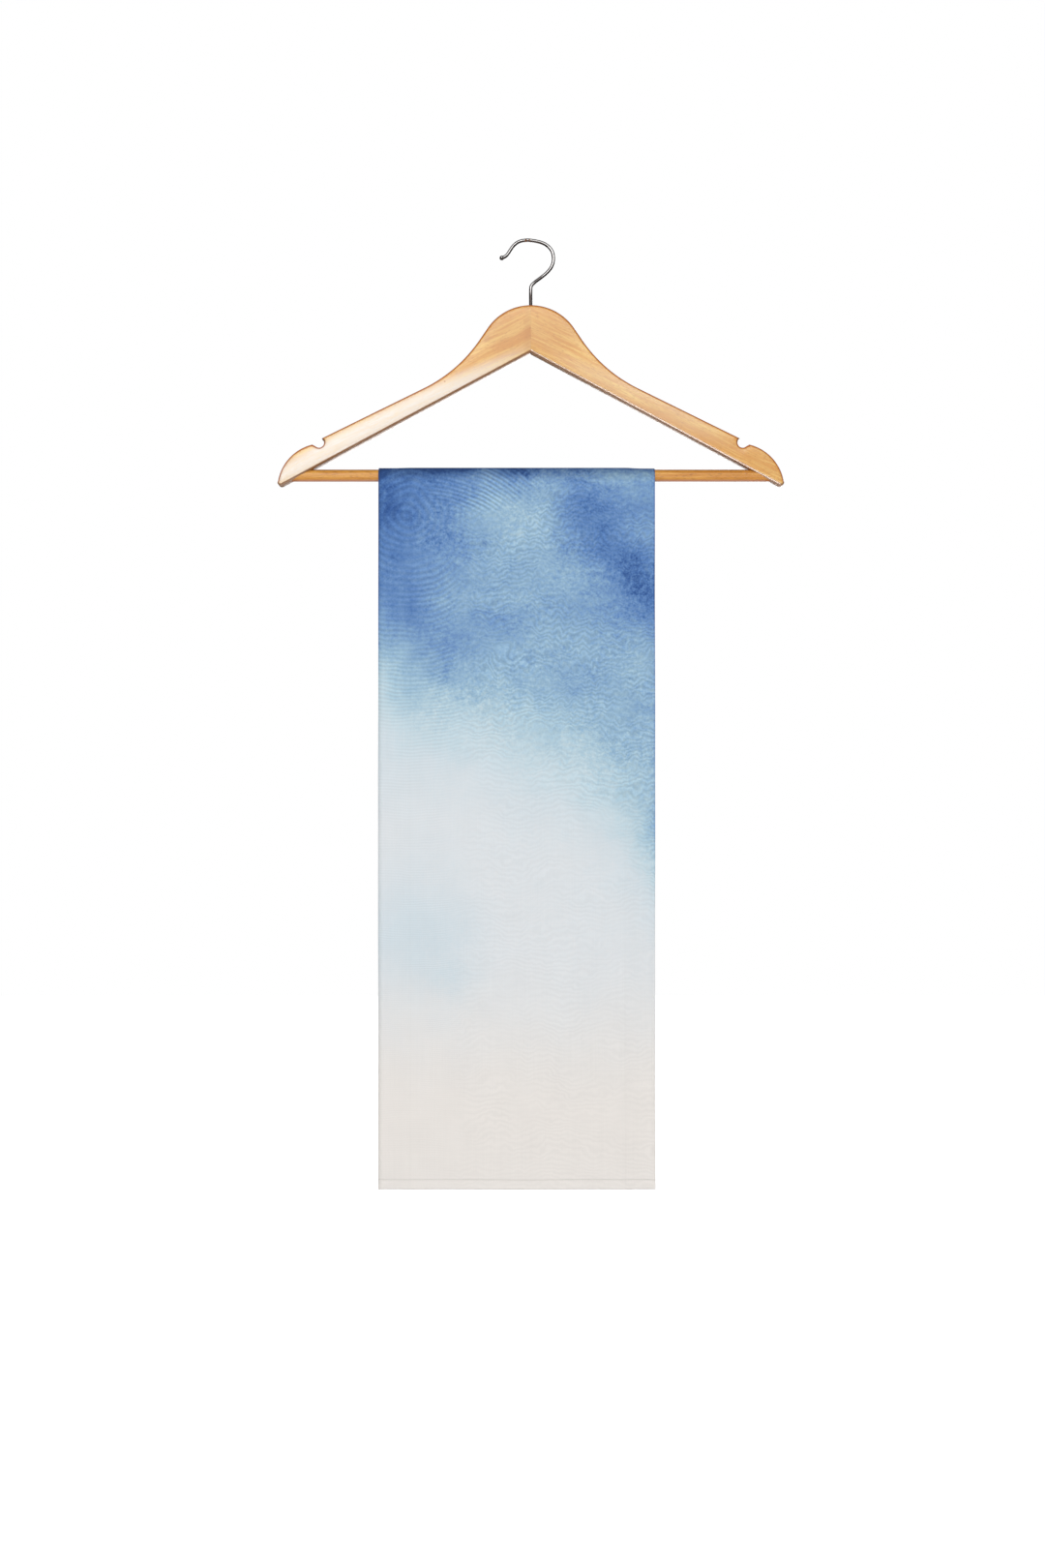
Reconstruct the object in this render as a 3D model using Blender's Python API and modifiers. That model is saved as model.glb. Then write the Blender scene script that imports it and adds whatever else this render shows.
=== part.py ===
"""A sheer dupatta, folded flat and hung over the bar of a wooden hanger with a wire hook.

The origin is the inside top of the hook, where a rail carries it. +X runs along the
hanger's right arm as seen from the front, the front faces -Y and +Z is up.
"""

import math
from collections import namedtuple

import bmesh
import bpy
from mathutils import Matrix, Vector

MM = 0.001
GAP = 0.3 * MM  # clearance between pieces that touch, and between plies

# Hanger arms: a flat board with rounded edges, cut to the same outline on each side
ARM_THICKNESS = 14 * MM
ARM_EDGE_RADIUS = 2.4 * MM
CROWN_TOP = -56.9 * MM
CROWN_RADIUS = 46 * MM
CROWN_END_ANGLE = 34.3  # degrees above the horizontal where the crown's arc ends
NECK_RADIUS = 127 * MM  # hollow curve between the crown and the shoulder
SHOULDER_POINT = (117.6 * MM, -141.2 * MM)
SHOULDER_FALL = 25.8  # degrees
UNDERSIDE_APEX = -97.9 * MM
UNDERSIDE_FALL = 28.2  # degrees
NOTCH_CENTRE = (186.0 * MM, -177.6 * MM)
NOTCH_RADIUS = 4.4 * MM
NOTCH_INNER_ANGLE = 122
NOTCH_OUTER_ANGLE = 310
NOTCH_OUTER_LIP = (192.0 * MM, -179.2 * MM)
END_CENTRE = (182.5 * MM, -218.3 * MM)
END_RADIUS = 40.2 * MM
END_START_ANGLE = 76.3
TIP_CORNER_ANGLE = 1.6  # where the end's arc would meet the underside
END_STOP_ANGLE = TIP_CORNER_ANGLE + 8  # where it gives way to the tip's own round
TIP_RADIUS = 2.8 * MM
CROWN_STEPS = 7
NECK_STEPS = 5
NOTCH_STEPS = 7
END_STEPS = 6
TIP_STEPS = 4
ARM_EDGE_STEPS = 3

# Trouser bar
BAR_RADIUS = 5.2 * MM
BAR_HEIGHT = -205.7 * MM
BAR_HALF_LENGTH = 212 * MM
BAR_END_BEVEL = 0.4 * MM
BAR_SIDES = 32
SOCKET_START = 150 * MM

# Hook
WIRE_RADIUS = 1.5 * MM
TIP_BALL_RADIUS = 2.05 * MM
SHANK_END = -98.2 * MM  # just proud of the arms' underside
WIRE_STEPS = 3  # points on each span of the route
BORE_SIDES = 20
BORE_OVERRUN = 5 * MM  # how far the bore's cutter passes the wood

# Folded cloth
CLOTH_WIDTH = 241.5 * MM
CLOTH_LEFT = -133.2 * MM
HEM_FOOT = -832.0 * MM
HEM_HEIGHT = 9 * MM
HEM_THICKNESS = 1.6 * MM
PLY_THICKNESS = 1.0 * MM
BACK_SHORTER = 6 * MM
INNER_FOOT_ABOVE_HEM = 1.6 * MM
LEFT_SETBACK = 28 * MM  # one inner ply stops this far from the left edge
RIGHT_SETBACK = 26 * MM  # the inner fold stops this far from the right edge
STEP_RUN = 8 * MM  # the outer ply climbs onto the inner plies over this width
FOLD_NOSE_RADIUS = 0.9 * MM
FREE_EDGE_COLUMN = 10 * MM  # first column of points in from the left edge
BEND_STEPS = 12
DROP_STEPS = 14
SHORTEST_ROW = 5 * MM
MIDDLE_COLUMNS = 9
STEP_COLUMNS = 4
NOSE_STEPS = 3

# Inner plies, as shares of their thickness together, from the bar outwards
UNDER_SHARE, MIDDLE_SHARE, UPPER_SHARE = 0.4, 0.3, 0.3
INNER_EDGE_ROUND = 0.5 * MM
INNER_LEFT_INSET = 0.4 * MM
EDGE_GROOVE = 2.0 * MM  # how far the groove between two plies runs in at the left edge
EDGE_LIP = 0.1 * MM

RoutePoint = namedtuple("RoutePoint", "x z")
HOOK_ROUTE = [
    RoutePoint(0.0, SHANK_END / MM),
    RoutePoint(0.0, -60.0),
    RoutePoint(0.0, -42.5),
    RoutePoint(0.8, -38.3),
    RoutePoint(4.2, -34.9),
    RoutePoint(9.4, -31.0),
    RoutePoint(14.7, -26.5),
    RoutePoint(18.6, -21.2),
    RoutePoint(20.0, -15.0),
    RoutePoint(18.9, -8.6),
    RoutePoint(15.0, -3.5),
    RoutePoint(9.0, -0.3),
    RoutePoint(0.0, 1.5),
    RoutePoint(-5.5, 1.5),
    RoutePoint(-10.7, 0.2),
    RoutePoint(-15.0, -3.0),
    RoutePoint(-18.1, -7.2),
    RoutePoint(-20.6, -11.0),
    RoutePoint(-23.0, -13.0),
    RoutePoint(-25.5, -14.0),
]

# Sections down a drop, in mm: distance below the bar's axis, thickness of the inner plies
# together, and how far the whole bundle stands out from the vertical
Section = namedtuple("Section", "below plies outward")
FRONT_SECTIONS = [
    Section(0, 1.0, 0.0),
    Section(25, 1.3, 0.0),
    Section(70, 1.8, 0.2),
    Section(150, 2.0, 0.6),
    Section(300, 2.1, 1.0),
    Section(450, 2.1, 0.7),
    Section(560, 2.2, 0.9),
    Section(630, 2.2, 1.5),
]
BACK_SECTIONS = [
    Section(0, 1.0, 0.0),
    Section(25, 1.3, 0.0),
    Section(70, 1.8, 0.3),
    Section(150, 2.1, 0.8),
    Section(300, 2.2, 0.9),
    Section(450, 2.1, 1.2),
    Section(560, 2.2, 1.0),
    Section(630, 2.3, 1.6),
]

# Soft vertical waves, in mm: place across from the left edge, half width, depth at the
# foot, and the distance below the bar where the wave starts
Wave = namedtuple("Wave", "across half_width depth start")
FRONT_WAVES = [
    Wave(64, 34, -0.7, 180),
    Wave(128, 40, 0.8, 260),
    Wave(188, 30, -0.6, 120),
    Wave(241, 26, 0.7, 330),
]
BACK_WAVES = [
    Wave(20, 30, 0.6, 300),
    Wave(88, 38, 0.9, 160),
    Wave(150, 34, -0.8, 220),
    Wave(214, 30, 0.7, 140),
]


def clear_scene():
    for obj in list(bpy.data.objects):
        bpy.data.objects.remove(obj, do_unlink=True)


def new_collection(name):
    collection = bpy.data.collections.new(name)
    bpy.context.scene.collection.children.link(collection)
    return collection


def new_material(name, colour, roughness, metallic=0.0):
    material = bpy.data.materials.new(name)
    material.use_nodes = True
    shader = material.node_tree.nodes["Principled BSDF"]
    shader.inputs["Base Color"].default_value = (*colour, 1)
    shader.inputs["Roughness"].default_value = roughness
    shader.inputs["Metallic"].default_value = metallic
    return material


def add_object(name, data, collection, material=None):
    obj = bpy.data.objects.new(name, data)
    collection.objects.link(obj)
    if material:
        data.materials.append(material)
    return obj


def mesh_from_curve(curve_object, collection, material):
    """Turns a curve into a closed mesh, its caps welded to its sides."""
    name = curve_object.name
    bpy.context.view_layer.update()
    evaluated = curve_object.evaluated_get(bpy.context.evaluated_depsgraph_get())
    mesh = bpy.data.meshes.new_from_object(evaluated)
    shape = bmesh.new()
    shape.from_mesh(mesh)
    bmesh.ops.remove_doubles(shape, verts=shape.verts, dist=0.001 * MM)
    shape.to_mesh(mesh)
    shape.free()
    matrix = curve_object.matrix_world.copy()
    bpy.data.objects.remove(curve_object, do_unlink=True)
    mesh.materials.clear()
    obj = add_object(name, mesh, collection, material)
    obj.matrix_world = matrix
    return obj


def shade_smooth(obj, sharp_angle=40):
    obj.data.shade_smooth()
    obj.data.set_sharp_from_angle(angle=math.radians(sharp_angle))


def add_cylinder(name, radius, start, end, sides, collection, material=None):
    """A cylinder whose axis runs from start to end."""
    start, end = Vector(start), Vector(end)
    mesh = bpy.data.meshes.new(name)
    shape = bmesh.new()
    bmesh.ops.create_cone(
        shape,
        cap_ends=True,
        segments=sides,
        radius1=radius,
        radius2=radius,
        depth=(end - start).length,
    )
    turn = (end - start).to_track_quat("Z", "Y").to_matrix().to_4x4()
    bmesh.ops.transform(shape, matrix=Matrix.Translation((start + end) / 2) @ turn, verts=shape.verts)
    shape.to_mesh(mesh)
    shape.free()
    return add_object(name, mesh, collection, material)


def cut(obj, cutter, operation="DIFFERENCE"):
    boolean = obj.modifiers.new(f"{operation.title()} {cutter.name}", "BOOLEAN")
    boolean.operation = operation
    boolean.object = cutter
    cutter.hide_render = True
    cutter.display_type = "WIRE"


def arc(centre, radius, start, end, steps):
    """Points on a circle in the XZ plane, with the angles in degrees."""
    angles = [math.radians(start + (end - start) * i / steps) for i in range(steps + 1)]
    return [(centre[0] + radius * math.cos(a), centre[1] + radius * math.sin(a)) for a in angles]


def falling(degrees):
    return Vector((math.cos(math.radians(degrees)), -math.sin(math.radians(degrees))))


def crossing(point_a, direction_a, point_b, direction_b):
    """Where two lines in the XZ plane cross."""
    across = Vector(point_b) - Vector(point_a)
    share = across.cross(direction_b) / direction_a.cross(direction_b)
    return Vector(point_a) + direction_a * share


def rounded_corner(corner, direction_in, direction_out, radius, steps):
    """An arc that touches both of the lines that meet at a corner."""
    half_turn = direction_in.angle(direction_out) / 2
    reach = radius * math.tan(half_turn)
    first = corner - direction_in * reach
    to_centre = (direction_out - direction_in).normalized() * (radius / math.cos(half_turn))
    centre = corner + to_centre
    spoke = first - centre
    side = math.copysign(1, direction_in.cross(direction_out))
    points = []
    for i in range(steps + 1):
        turned = Matrix.Rotation(side * 2 * half_turn * i / steps, 2) @ spoke
        points.append(tuple(centre + turned))
    return points


def arm_outline():
    """The right arm's outline, from the seam over the crown to the tip and back underneath."""
    crown_centre = (0.0, CROWN_TOP - CROWN_RADIUS)
    crown = arc(crown_centre, CROWN_RADIUS, 90, CROWN_END_ANGLE, CROWN_STEPS)
    crown[0] = (GAP / 2, CROWN_TOP)
    neck_direction = falling(90 - CROWN_END_ANGLE)
    shoulder_direction = falling(SHOULDER_FALL)
    neck_corner = crossing(crown[-1], neck_direction, SHOULDER_POINT, shoulder_direction)
    neck = rounded_corner(neck_corner, neck_direction, shoulder_direction, NECK_RADIUS, NECK_STEPS)
    notch = arc(NOTCH_CENTRE, NOTCH_RADIUS, NOTCH_INNER_ANGLE, NOTCH_OUTER_ANGLE, NOTCH_STEPS)
    end = arc(END_CENTRE, END_RADIUS, END_START_ANGLE, END_STOP_ANGLE, END_STEPS)
    tip_corner = Vector(arc(END_CENTRE, END_RADIUS, TIP_CORNER_ANGLE, TIP_CORNER_ANGLE, 1)[0])
    tip_direction = falling(90 - TIP_CORNER_ANGLE)
    underside_direction = -falling(UNDERSIDE_FALL)
    tip = rounded_corner(tip_corner, tip_direction, underside_direction, TIP_RADIUS, TIP_STEPS)
    apex = [(GAP / 2, UNDERSIDE_APEX)]
    return crown + neck + notch + [NOTCH_OUTER_LIP] + end + tip + apex


def weigh_rims(mesh):
    """Marks the front and back rims for rounding, all but the faces that meet at the seam."""
    weights = mesh.attributes.new("bevel_weight_edge", "FLOAT", "EDGE")
    for edge in mesh.edges:
        first, second = (mesh.vertices[i].co for i in edge.vertices)
        along_rim = abs(first.z - second.z) < 0.01 * MM
        at_seam = max(abs(first.x), abs(second.x)) < GAP
        weights.data[edge.index].value = 1.0 if along_rim and not at_seam else 0.0


def add_arm(name, side, collection, cutters, material):
    """One arm. Its outline lies in the curve's own XY plane, which is turned upright."""
    points = [(side * x, z) for x, z in arm_outline()]
    curve = bpy.data.curves.new(name, "CURVE")
    curve.dimensions = "2D"
    curve.fill_mode = "BOTH"
    curve.extrude = ARM_THICKNESS / 2
    spline = curve.splines.new("POLY")
    spline.points.add(len(points) - 1)
    spline.use_cyclic_u = True
    for point, (x, z) in zip(spline.points, points):
        point.co = (x, z, 0, 1)
    outline = add_object(name, curve, collection)
    outline.rotation_euler = (math.radians(90), 0, 0)
    arm = mesh_from_curve(outline, collection, material)
    shape = bmesh.new()
    shape.from_mesh(arm.data)
    bmesh.ops.dissolve_limit(shape, angle_limit=math.radians(1), verts=shape.verts, edges=shape.edges)
    bmesh.ops.recalc_face_normals(shape, faces=shape.faces)
    shape.to_mesh(arm.data)
    shape.free()
    weigh_rims(arm.data)
    bevel = arm.modifiers.new("Rounded edges", "BEVEL")
    bevel.width = ARM_EDGE_RADIUS
    bevel.segments = ARM_EDGE_STEPS
    bevel.limit_method = "WEIGHT"
    bevel.use_clamp_overlap = False
    socket = add_cylinder(
        f"{name}_socket",
        BAR_RADIUS + GAP,
        (side * SOCKET_START, 0, BAR_HEIGHT),
        (side * (BAR_HALF_LENGTH + GAP), 0, BAR_HEIGHT),
        BAR_SIDES,
        cutters,
    )
    cut(arm, socket)
    cut(arm, cutters.objects["hook_bore"])
    shade_smooth(arm, 30)
    flat_faces = arm.modifiers.new("Flat faces stay flat", "WEIGHTED_NORMAL")
    flat_faces.keep_sharp = True
    return arm


def add_bar(collection, material):
    bar = add_cylinder(
        "trouser_bar",
        BAR_RADIUS,
        (-BAR_HALF_LENGTH, 0, BAR_HEIGHT),
        (BAR_HALF_LENGTH, 0, BAR_HEIGHT),
        BAR_SIDES,
        collection,
        material,
    )
    bevel = bar.modifiers.new("Eased ends", "BEVEL")
    bevel.width = BAR_END_BEVEL
    bevel.limit_method = "ANGLE"
    bevel.angle_limit = math.radians(60)
    shade_smooth(bar)
    return bar


def smooth_route(points, steps):
    """Points on a smooth curve that passes through each given point."""
    route = [Vector((point.x * MM, point.z * MM)) for point in points]
    ends = [2 * route[0] - route[1], *route, 2 * route[-1] - route[-2]]
    smooth = []
    for before, start, end, after in zip(ends, ends[1:], ends[2:], ends[3:]):
        for i in range(steps):
            t = i / steps
            smooth.append(
                start
                + (end - before) * (0.5 * t)
                + (2 * before - 5 * start + 4 * end - after) * (0.5 * t * t)
                + (3 * start - before - 3 * end + after) * (0.5 * t * t * t)
            )
    return [*smooth, route[-1]]


def add_hook(collection, cutters, material):
    """The wire and, joined to its end, the ball tip."""
    points = smooth_route(HOOK_ROUTE, WIRE_STEPS)
    curve = bpy.data.curves.new("hook", "CURVE")
    curve.dimensions = "3D"
    curve.bevel_depth = WIRE_RADIUS
    curve.bevel_resolution = 3
    curve.use_fill_caps = True
    spline = curve.splines.new("POLY")
    spline.points.add(len(points) - 1)
    for point, place in zip(spline.points, points):
        point.co = (place.x, 0, place.y, 1)
    hook = mesh_from_curve(add_object("hook", curve, collection), collection, material)
    ball_mesh = bpy.data.meshes.new("hook_ball")
    shape = bmesh.new()
    bmesh.ops.create_uvsphere(shape, u_segments=16, v_segments=10, radius=TIP_BALL_RADIUS)
    end = points[-1]
    bmesh.ops.translate(shape, vec=(end.x, 0, end.y), verts=shape.verts)
    shape.to_mesh(ball_mesh)
    shape.free()
    ball = add_object("hook_ball", ball_mesh, cutters)
    cut(hook, ball, "UNION")
    shade_smooth(hook, 60)
    return hook


def smooth_rise(value, start, end):
    share = min(max((value - start) / (end - start), 0.0), 1.0)
    return share * share * (3 - 2 * share)


def section_at(sections, below):
    """The thickness of the inner plies and the outward stand at a distance below the bar."""
    below = max(below / MM, 0.0)
    for upper, lower in zip(sections, sections[1:]):
        if below <= lower.below:
            break
    share = smooth_rise(below, upper.below, lower.below)
    plies = upper.plies + (lower.plies - upper.plies) * share
    outward = upper.outward + (lower.outward - upper.outward) * share
    return plies * MM, outward * MM


def wave_at(waves, across, below, foot):
    """How far the soft waves push the bundle out at one place."""
    push = 0.0
    for wave in waves:
        away = abs(across / MM - wave.across) / wave.half_width
        if away < 1:
            growth = smooth_rise(below / MM, wave.start, foot / MM)
            push += wave.depth * MM * growth * (0.5 + 0.5 * math.cos(math.pi * away))
    return push


def step_shares(across):
    """How far the outer ply has climbed onto the inner plies, from the left and from the right."""
    from_left = smooth_rise(across, LEFT_SETBACK - STEP_RUN, LEFT_SETBACK)
    from_right = smooth_rise(CLOTH_WIDTH - across, RIGHT_SETBACK - STEP_RUN, RIGHT_SETBACK)
    return from_left, from_right


def outer_ply_offset(across, plies):
    """Distance from the bar's axis to the middle of the outer ply."""
    from_left, from_right = step_shares(across)
    under = plies * (UNDER_SHARE + MIDDLE_SHARE * from_right + UPPER_SHARE * from_left * from_right)
    return BAR_RADIUS + GAP + under + GAP + PLY_THICKNESS / 2


def middle_columns():
    """Places across the cloth where all the plies lie on each other."""
    first, last = LEFT_SETBACK, CLOTH_WIDTH - RIGHT_SETBACK
    return [first + (last - first) * i / MIDDLE_COLUMNS for i in range(MIDDLE_COLUMNS + 1)]


def outer_ply_columns():
    """Places across the cloth, close together where the ply climbs onto the plies below."""
    left = [LEFT_SETBACK - STEP_RUN * (1 - i / STEP_COLUMNS) for i in range(STEP_COLUMNS)]
    right = [CLOTH_WIDTH - RIGHT_SETBACK + STEP_RUN * i / STEP_COLUMNS for i in range(1, STEP_COLUMNS + 1)]
    last = CLOTH_WIDTH - PLY_THICKNESS / 2 - FOLD_NOSE_RADIUS
    return [0.0, FREE_EDGE_COLUMN, *left, *middle_columns(), *right, last]


def outer_ply_profile(plies, with_nose):
    """The outer ply's middle line across the cloth, as (across, offset from the bar's axis)."""
    profile = [(across, outer_ply_offset(across, plies)) for across in outer_ply_columns()]
    if not with_nose:
        return [*profile, (CLOTH_WIDTH, profile[-1][1])]
    centre_across, top = profile[-1]
    for i in range(1, NOSE_STEPS + 1):
        angle = math.radians(90 * i / NOSE_STEPS)
        profile.append(
            (
                centre_across + FOLD_NOSE_RADIUS * math.sin(angle),
                top - FOLD_NOSE_RADIUS * (1 - math.cos(angle)),
            )
        )
    return [*profile, (profile[-1][0], BAR_RADIUS + GAP)]


def inner_plies_profile(plies):
    """Outline of the hidden plies, layered at the edges, as (across, offset from the bar's axis)."""
    base = BAR_RADIUS + GAP
    under = plies * UNDER_SHARE
    middle = plies * (UNDER_SHARE + MIDDLE_SHARE)
    left = INNER_LEFT_INSET
    right = CLOTH_WIDTH - PLY_THICKNESS - GAP
    columns = middle_columns()
    outline = [
        (left + INNER_EDGE_ROUND, 0.0),
        *[(across, 0.0) for across in columns],
        (right - INNER_EDGE_ROUND, 0.0),
        (right, under / 2),
        (right - INNER_EDGE_ROUND, under),
        (columns[-1] - INNER_EDGE_ROUND, under),
        (columns[-1], (under + plies) / 2),
        (columns[-1] - INNER_EDGE_ROUND, plies),
        *[(across, plies) for across in reversed(columns[1:-1])],
        (columns[0] + INNER_EDGE_ROUND, plies),
        (columns[0], middle + EDGE_LIP),
        (columns[0], middle),
        (left + INNER_EDGE_ROUND, middle),
        (left, (under + middle) / 2),
        (left + EDGE_GROOVE, under),
        (left, under / 2),
    ]
    return [(across, base + height) for across, height in outline]


def place_on_bend(across, offset, turn):
    """A point of the stretch over the bar: turn is 0 at the front tangent and 180 at the back."""
    angle = math.radians(turn)
    return Vector((CLOTH_LEFT + across, -math.cos(angle) * offset, BAR_HEIGHT + math.sin(angle) * offset))


def place_on_drop(across, offset, below, side, push):
    """A point of a drop: side is -1 for the front and +1 for the back."""
    return Vector((CLOTH_LEFT + across, side * (offset + push), BAR_HEIGHT - below))


def drop_rows(foot):
    """Distances below the bar for the rows of points, all plies sharing them but for the last."""
    full = BAR_HEIGHT - HEM_FOOT
    rows = [full * i / DROP_STEPS for i in range(1, DROP_STEPS)]
    return [GAP, *[below for below in rows if below < foot - SHORTEST_ROW], foot]


def bend_rows(profile_of):
    """Points over the bar, row by row from the front tangent to the back one."""
    profile = profile_of(FRONT_SECTIONS[0].plies * MM)
    turns = [180 * i / BEND_STEPS for i in range(BEND_STEPS + 1)]
    return [[place_on_bend(across, offset, turn) for across, offset in profile] for turn in turns]


def drop_points(profile_of, belows, side, shift=0.0):
    """Points down one drop, row by row."""
    sections, waves = (FRONT_SECTIONS, FRONT_WAVES) if side < 0 else (BACK_SECTIONS, BACK_WAVES)
    foot = BAR_HEIGHT - HEM_FOOT
    rows = []
    for below in belows:
        plies, outward = section_at(sections, below)
        row = []
        for across, offset in profile_of(plies):
            push = outward + wave_at(waves, across, below, foot)
            row.append(place_on_drop(across, offset + shift, below, side, push))
        rows.append(row)
    return rows


def add_wall(name, rows, thickness, collection, material):
    """A cloth wall: an open surface through the rows of points, thickened evenly."""
    mesh = bpy.data.meshes.new(name)
    shape = bmesh.new()
    grid = [[shape.verts.new(point) for point in row] for row in rows]
    for upper, lower in zip(grid, grid[1:]):
        for a, b, c, d in zip(upper, upper[1:], lower[1:], lower):
            shape.faces.new((a, b, c, d))
    bmesh.ops.recalc_face_normals(shape, faces=shape.faces)
    shape.to_mesh(mesh)
    shape.free()
    wall = add_object(name, mesh, collection, material)
    solidify = wall.modifiers.new("Cloth thickness", "SOLIDIFY")
    solidify.thickness = thickness
    solidify.offset = 0
    solidify.use_even_offset = True
    shade_smooth(wall, 50)
    return wall


def add_loft(name, rings, collection, material):
    """A closed solid through a row of closed outlines."""
    mesh = bpy.data.meshes.new(name)
    shape = bmesh.new()
    loops = [[shape.verts.new(point) for point in ring] for ring in rings]
    for upper, lower in zip(loops, loops[1:]):
        for i in range(len(upper)):
            j = (i + 1) % len(upper)
            shape.faces.new((upper[i], upper[j], lower[j], lower[i]))
    shape.faces.new(loops[0])
    shape.faces.new(loops[-1])
    bmesh.ops.recalc_face_normals(shape, faces=shape.faces)
    shape.to_mesh(mesh)
    shape.free()
    solid = add_object(name, mesh, collection, material)
    shade_smooth(solid, 50)
    return solid


def add_cloth(collection, cloth, inner_cloth):
    """The front drop, the bend over the bar and the back drop, each as an outer and inner plies."""
    foot = BAR_HEIGHT - HEM_FOOT
    hem_top = foot - HEM_HEIGHT
    back_foot = foot - BACK_SHORTER

    def wrapped(plies):
        return outer_ply_profile(plies, with_nose=True)

    def plain(plies):
        return outer_ply_profile(plies, with_nose=False)

    front_belows = drop_rows(hem_top - GAP)
    back_belows = drop_rows(back_foot)
    add_wall("front_outer_ply", drop_points(wrapped, front_belows, -1), PLY_THICKNESS, collection, cloth)
    add_wall("back_outer_ply", drop_points(wrapped, back_belows, 1), PLY_THICKNESS, collection, cloth)
    add_wall("bend_outer_ply", bend_rows(wrapped), PLY_THICKNESS, collection, cloth)

    hem_stand = (HEM_THICKNESS - PLY_THICKNESS) / 2
    hem_belows = [hem_top, hem_top + HEM_HEIGHT / 2, foot]
    add_wall("front_hem", drop_points(plain, hem_belows, -1, hem_stand), HEM_THICKNESS, collection, cloth)

    inner_front = drop_rows(foot - INNER_FOOT_ABOVE_HEM)
    inner_back = drop_rows(back_foot - INNER_FOOT_ABOVE_HEM)
    add_loft("front_inner_plies", drop_points(inner_plies_profile, inner_front, -1), collection, inner_cloth)
    add_loft("back_inner_plies", drop_points(inner_plies_profile, inner_back, 1), collection, inner_cloth)
    add_loft("bend_inner_plies", bend_rows(inner_plies_profile), collection, inner_cloth)


def main():
    clear_scene()
    parts = new_collection("folded_dupatta_on_hanger")
    cutters = new_collection("cutters")

    wood = new_material("lacquered_wood", (0.72, 0.44, 0.20), 0.35)
    chrome = new_material("chrome_wire", (0.75, 0.76, 0.78), 0.12, metallic=1.0)
    cloth = new_material("printed_cloth", (0.22, 0.36, 0.62), 0.85)
    inner_cloth = new_material("printed_cloth_inside", (0.34, 0.48, 0.68), 0.9)

    bore_start = (0, 0, CROWN_TOP + BORE_OVERRUN)
    bore_end = (0, 0, UNDERSIDE_APEX - BORE_OVERRUN)
    add_cylinder("hook_bore", WIRE_RADIUS + GAP, bore_start, bore_end, BORE_SIDES, cutters)
    add_arm("arm_left", -1, parts, cutters, wood)
    add_arm("arm_right", 1, parts, cutters, wood)
    add_bar(parts, wood)
    add_hook(parts, cutters, chrome)
    add_cloth(parts, cloth, inner_cloth)


main()
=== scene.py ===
from collections import namedtuple
from math import acos, ceil, copysign, cos, pi, radians, sin, sqrt, tan, tau

import bmesh
import bpy
import numpy as np
from mathutils import Matrix, Vector
from mathutils.geometry import delaunay_2d_cdt


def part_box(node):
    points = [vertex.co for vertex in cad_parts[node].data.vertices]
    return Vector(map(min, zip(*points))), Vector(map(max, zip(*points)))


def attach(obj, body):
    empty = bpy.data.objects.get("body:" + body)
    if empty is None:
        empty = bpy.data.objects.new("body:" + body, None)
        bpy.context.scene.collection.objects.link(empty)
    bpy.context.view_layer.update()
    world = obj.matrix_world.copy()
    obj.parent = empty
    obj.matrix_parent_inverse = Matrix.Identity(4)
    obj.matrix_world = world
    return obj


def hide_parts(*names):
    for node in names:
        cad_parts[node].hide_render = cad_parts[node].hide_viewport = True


# A sheer dupatta with a soft blue wash, folded flat and hung over the bar of a wooden hanger.
# Metres, +Z up, the front faces -Y, and the origin is the inside top of the hook.

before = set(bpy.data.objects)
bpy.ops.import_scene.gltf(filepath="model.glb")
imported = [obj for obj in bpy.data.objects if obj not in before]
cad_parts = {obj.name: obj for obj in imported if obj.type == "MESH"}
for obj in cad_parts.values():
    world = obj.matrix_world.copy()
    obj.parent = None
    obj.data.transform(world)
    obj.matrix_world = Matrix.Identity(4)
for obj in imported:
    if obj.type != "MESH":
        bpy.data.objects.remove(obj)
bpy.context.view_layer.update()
mm = 0.001
print("frame loaded")


class settings(dict):
    # a dictionary of what a user would change on one piece, whose values are read as piece.name
    __getattr__ = dict.__getitem__


def srgb(red, green, blue):
    # a colour, 0 to 255, as the linear values that a shader takes
    def linear(value):
        value /= 255
        return value / 12.92 if value <= 0.04045 else ((value + 0.055) / 1.055) ** 2.4

    return (linear(red), linear(green), linear(blue), 1.0)


# Shader nodes, with sums on their values written as sums


def addNode(tree, kind, **options):
    node = tree.nodes.new(kind)
    for name, value in options.items():
        setattr(node, name, value)
    return node


class shaderValue:
    # what a node gives out: a number, a vector or a colour
    def __init__(self, socket):
        self.socket = socket
        self.tree = socket.id_data

    def __add__(self, other):
        return worked("ADD", self, other)

    def __sub__(self, other):
        return worked("SUBTRACT", self, other)

    def __rsub__(self, other):
        return worked("SUBTRACT", other, self)

    def __mul__(self, other):
        return worked("MULTIPLY", self, other)

    def __truediv__(self, other):
        return worked("DIVIDE", self, other)

    def __pow__(self, other):
        return worked("POWER", self, other)

    def __abs__(self):
        return worked("ABSOLUTE", self)


def outputsOf(node):
    return {output.name: shaderValue(output) for output in node.outputs}


def plug(value, socket):
    # links a shaderValue to a socket, or sets anything else there
    if isinstance(value, shaderValue):
        value.tree.links.new(value.socket, socket)
    else:
        socket.default_value = value


def treeOf(values):
    return next(value.tree for value in values if isinstance(value, shaderValue))


def worked(operation, *values, clamp=False):
    # one step of a sum, on vectors where the first value is one
    tree = treeOf(values)
    if isinstance(values[0], shaderValue) and values[0].socket.type != "VALUE":
        node = addNode(tree, "ShaderNodeVectorMath", operation=operation)
    else:
        node = addNode(tree, "ShaderNodeMath", operation=operation, use_clamp=clamp)
    for value, socket in zip(values, node.inputs):
        plug(value, socket)
    return shaderValue(node.outputs["Value" if operation == "LENGTH" else 0])


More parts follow.
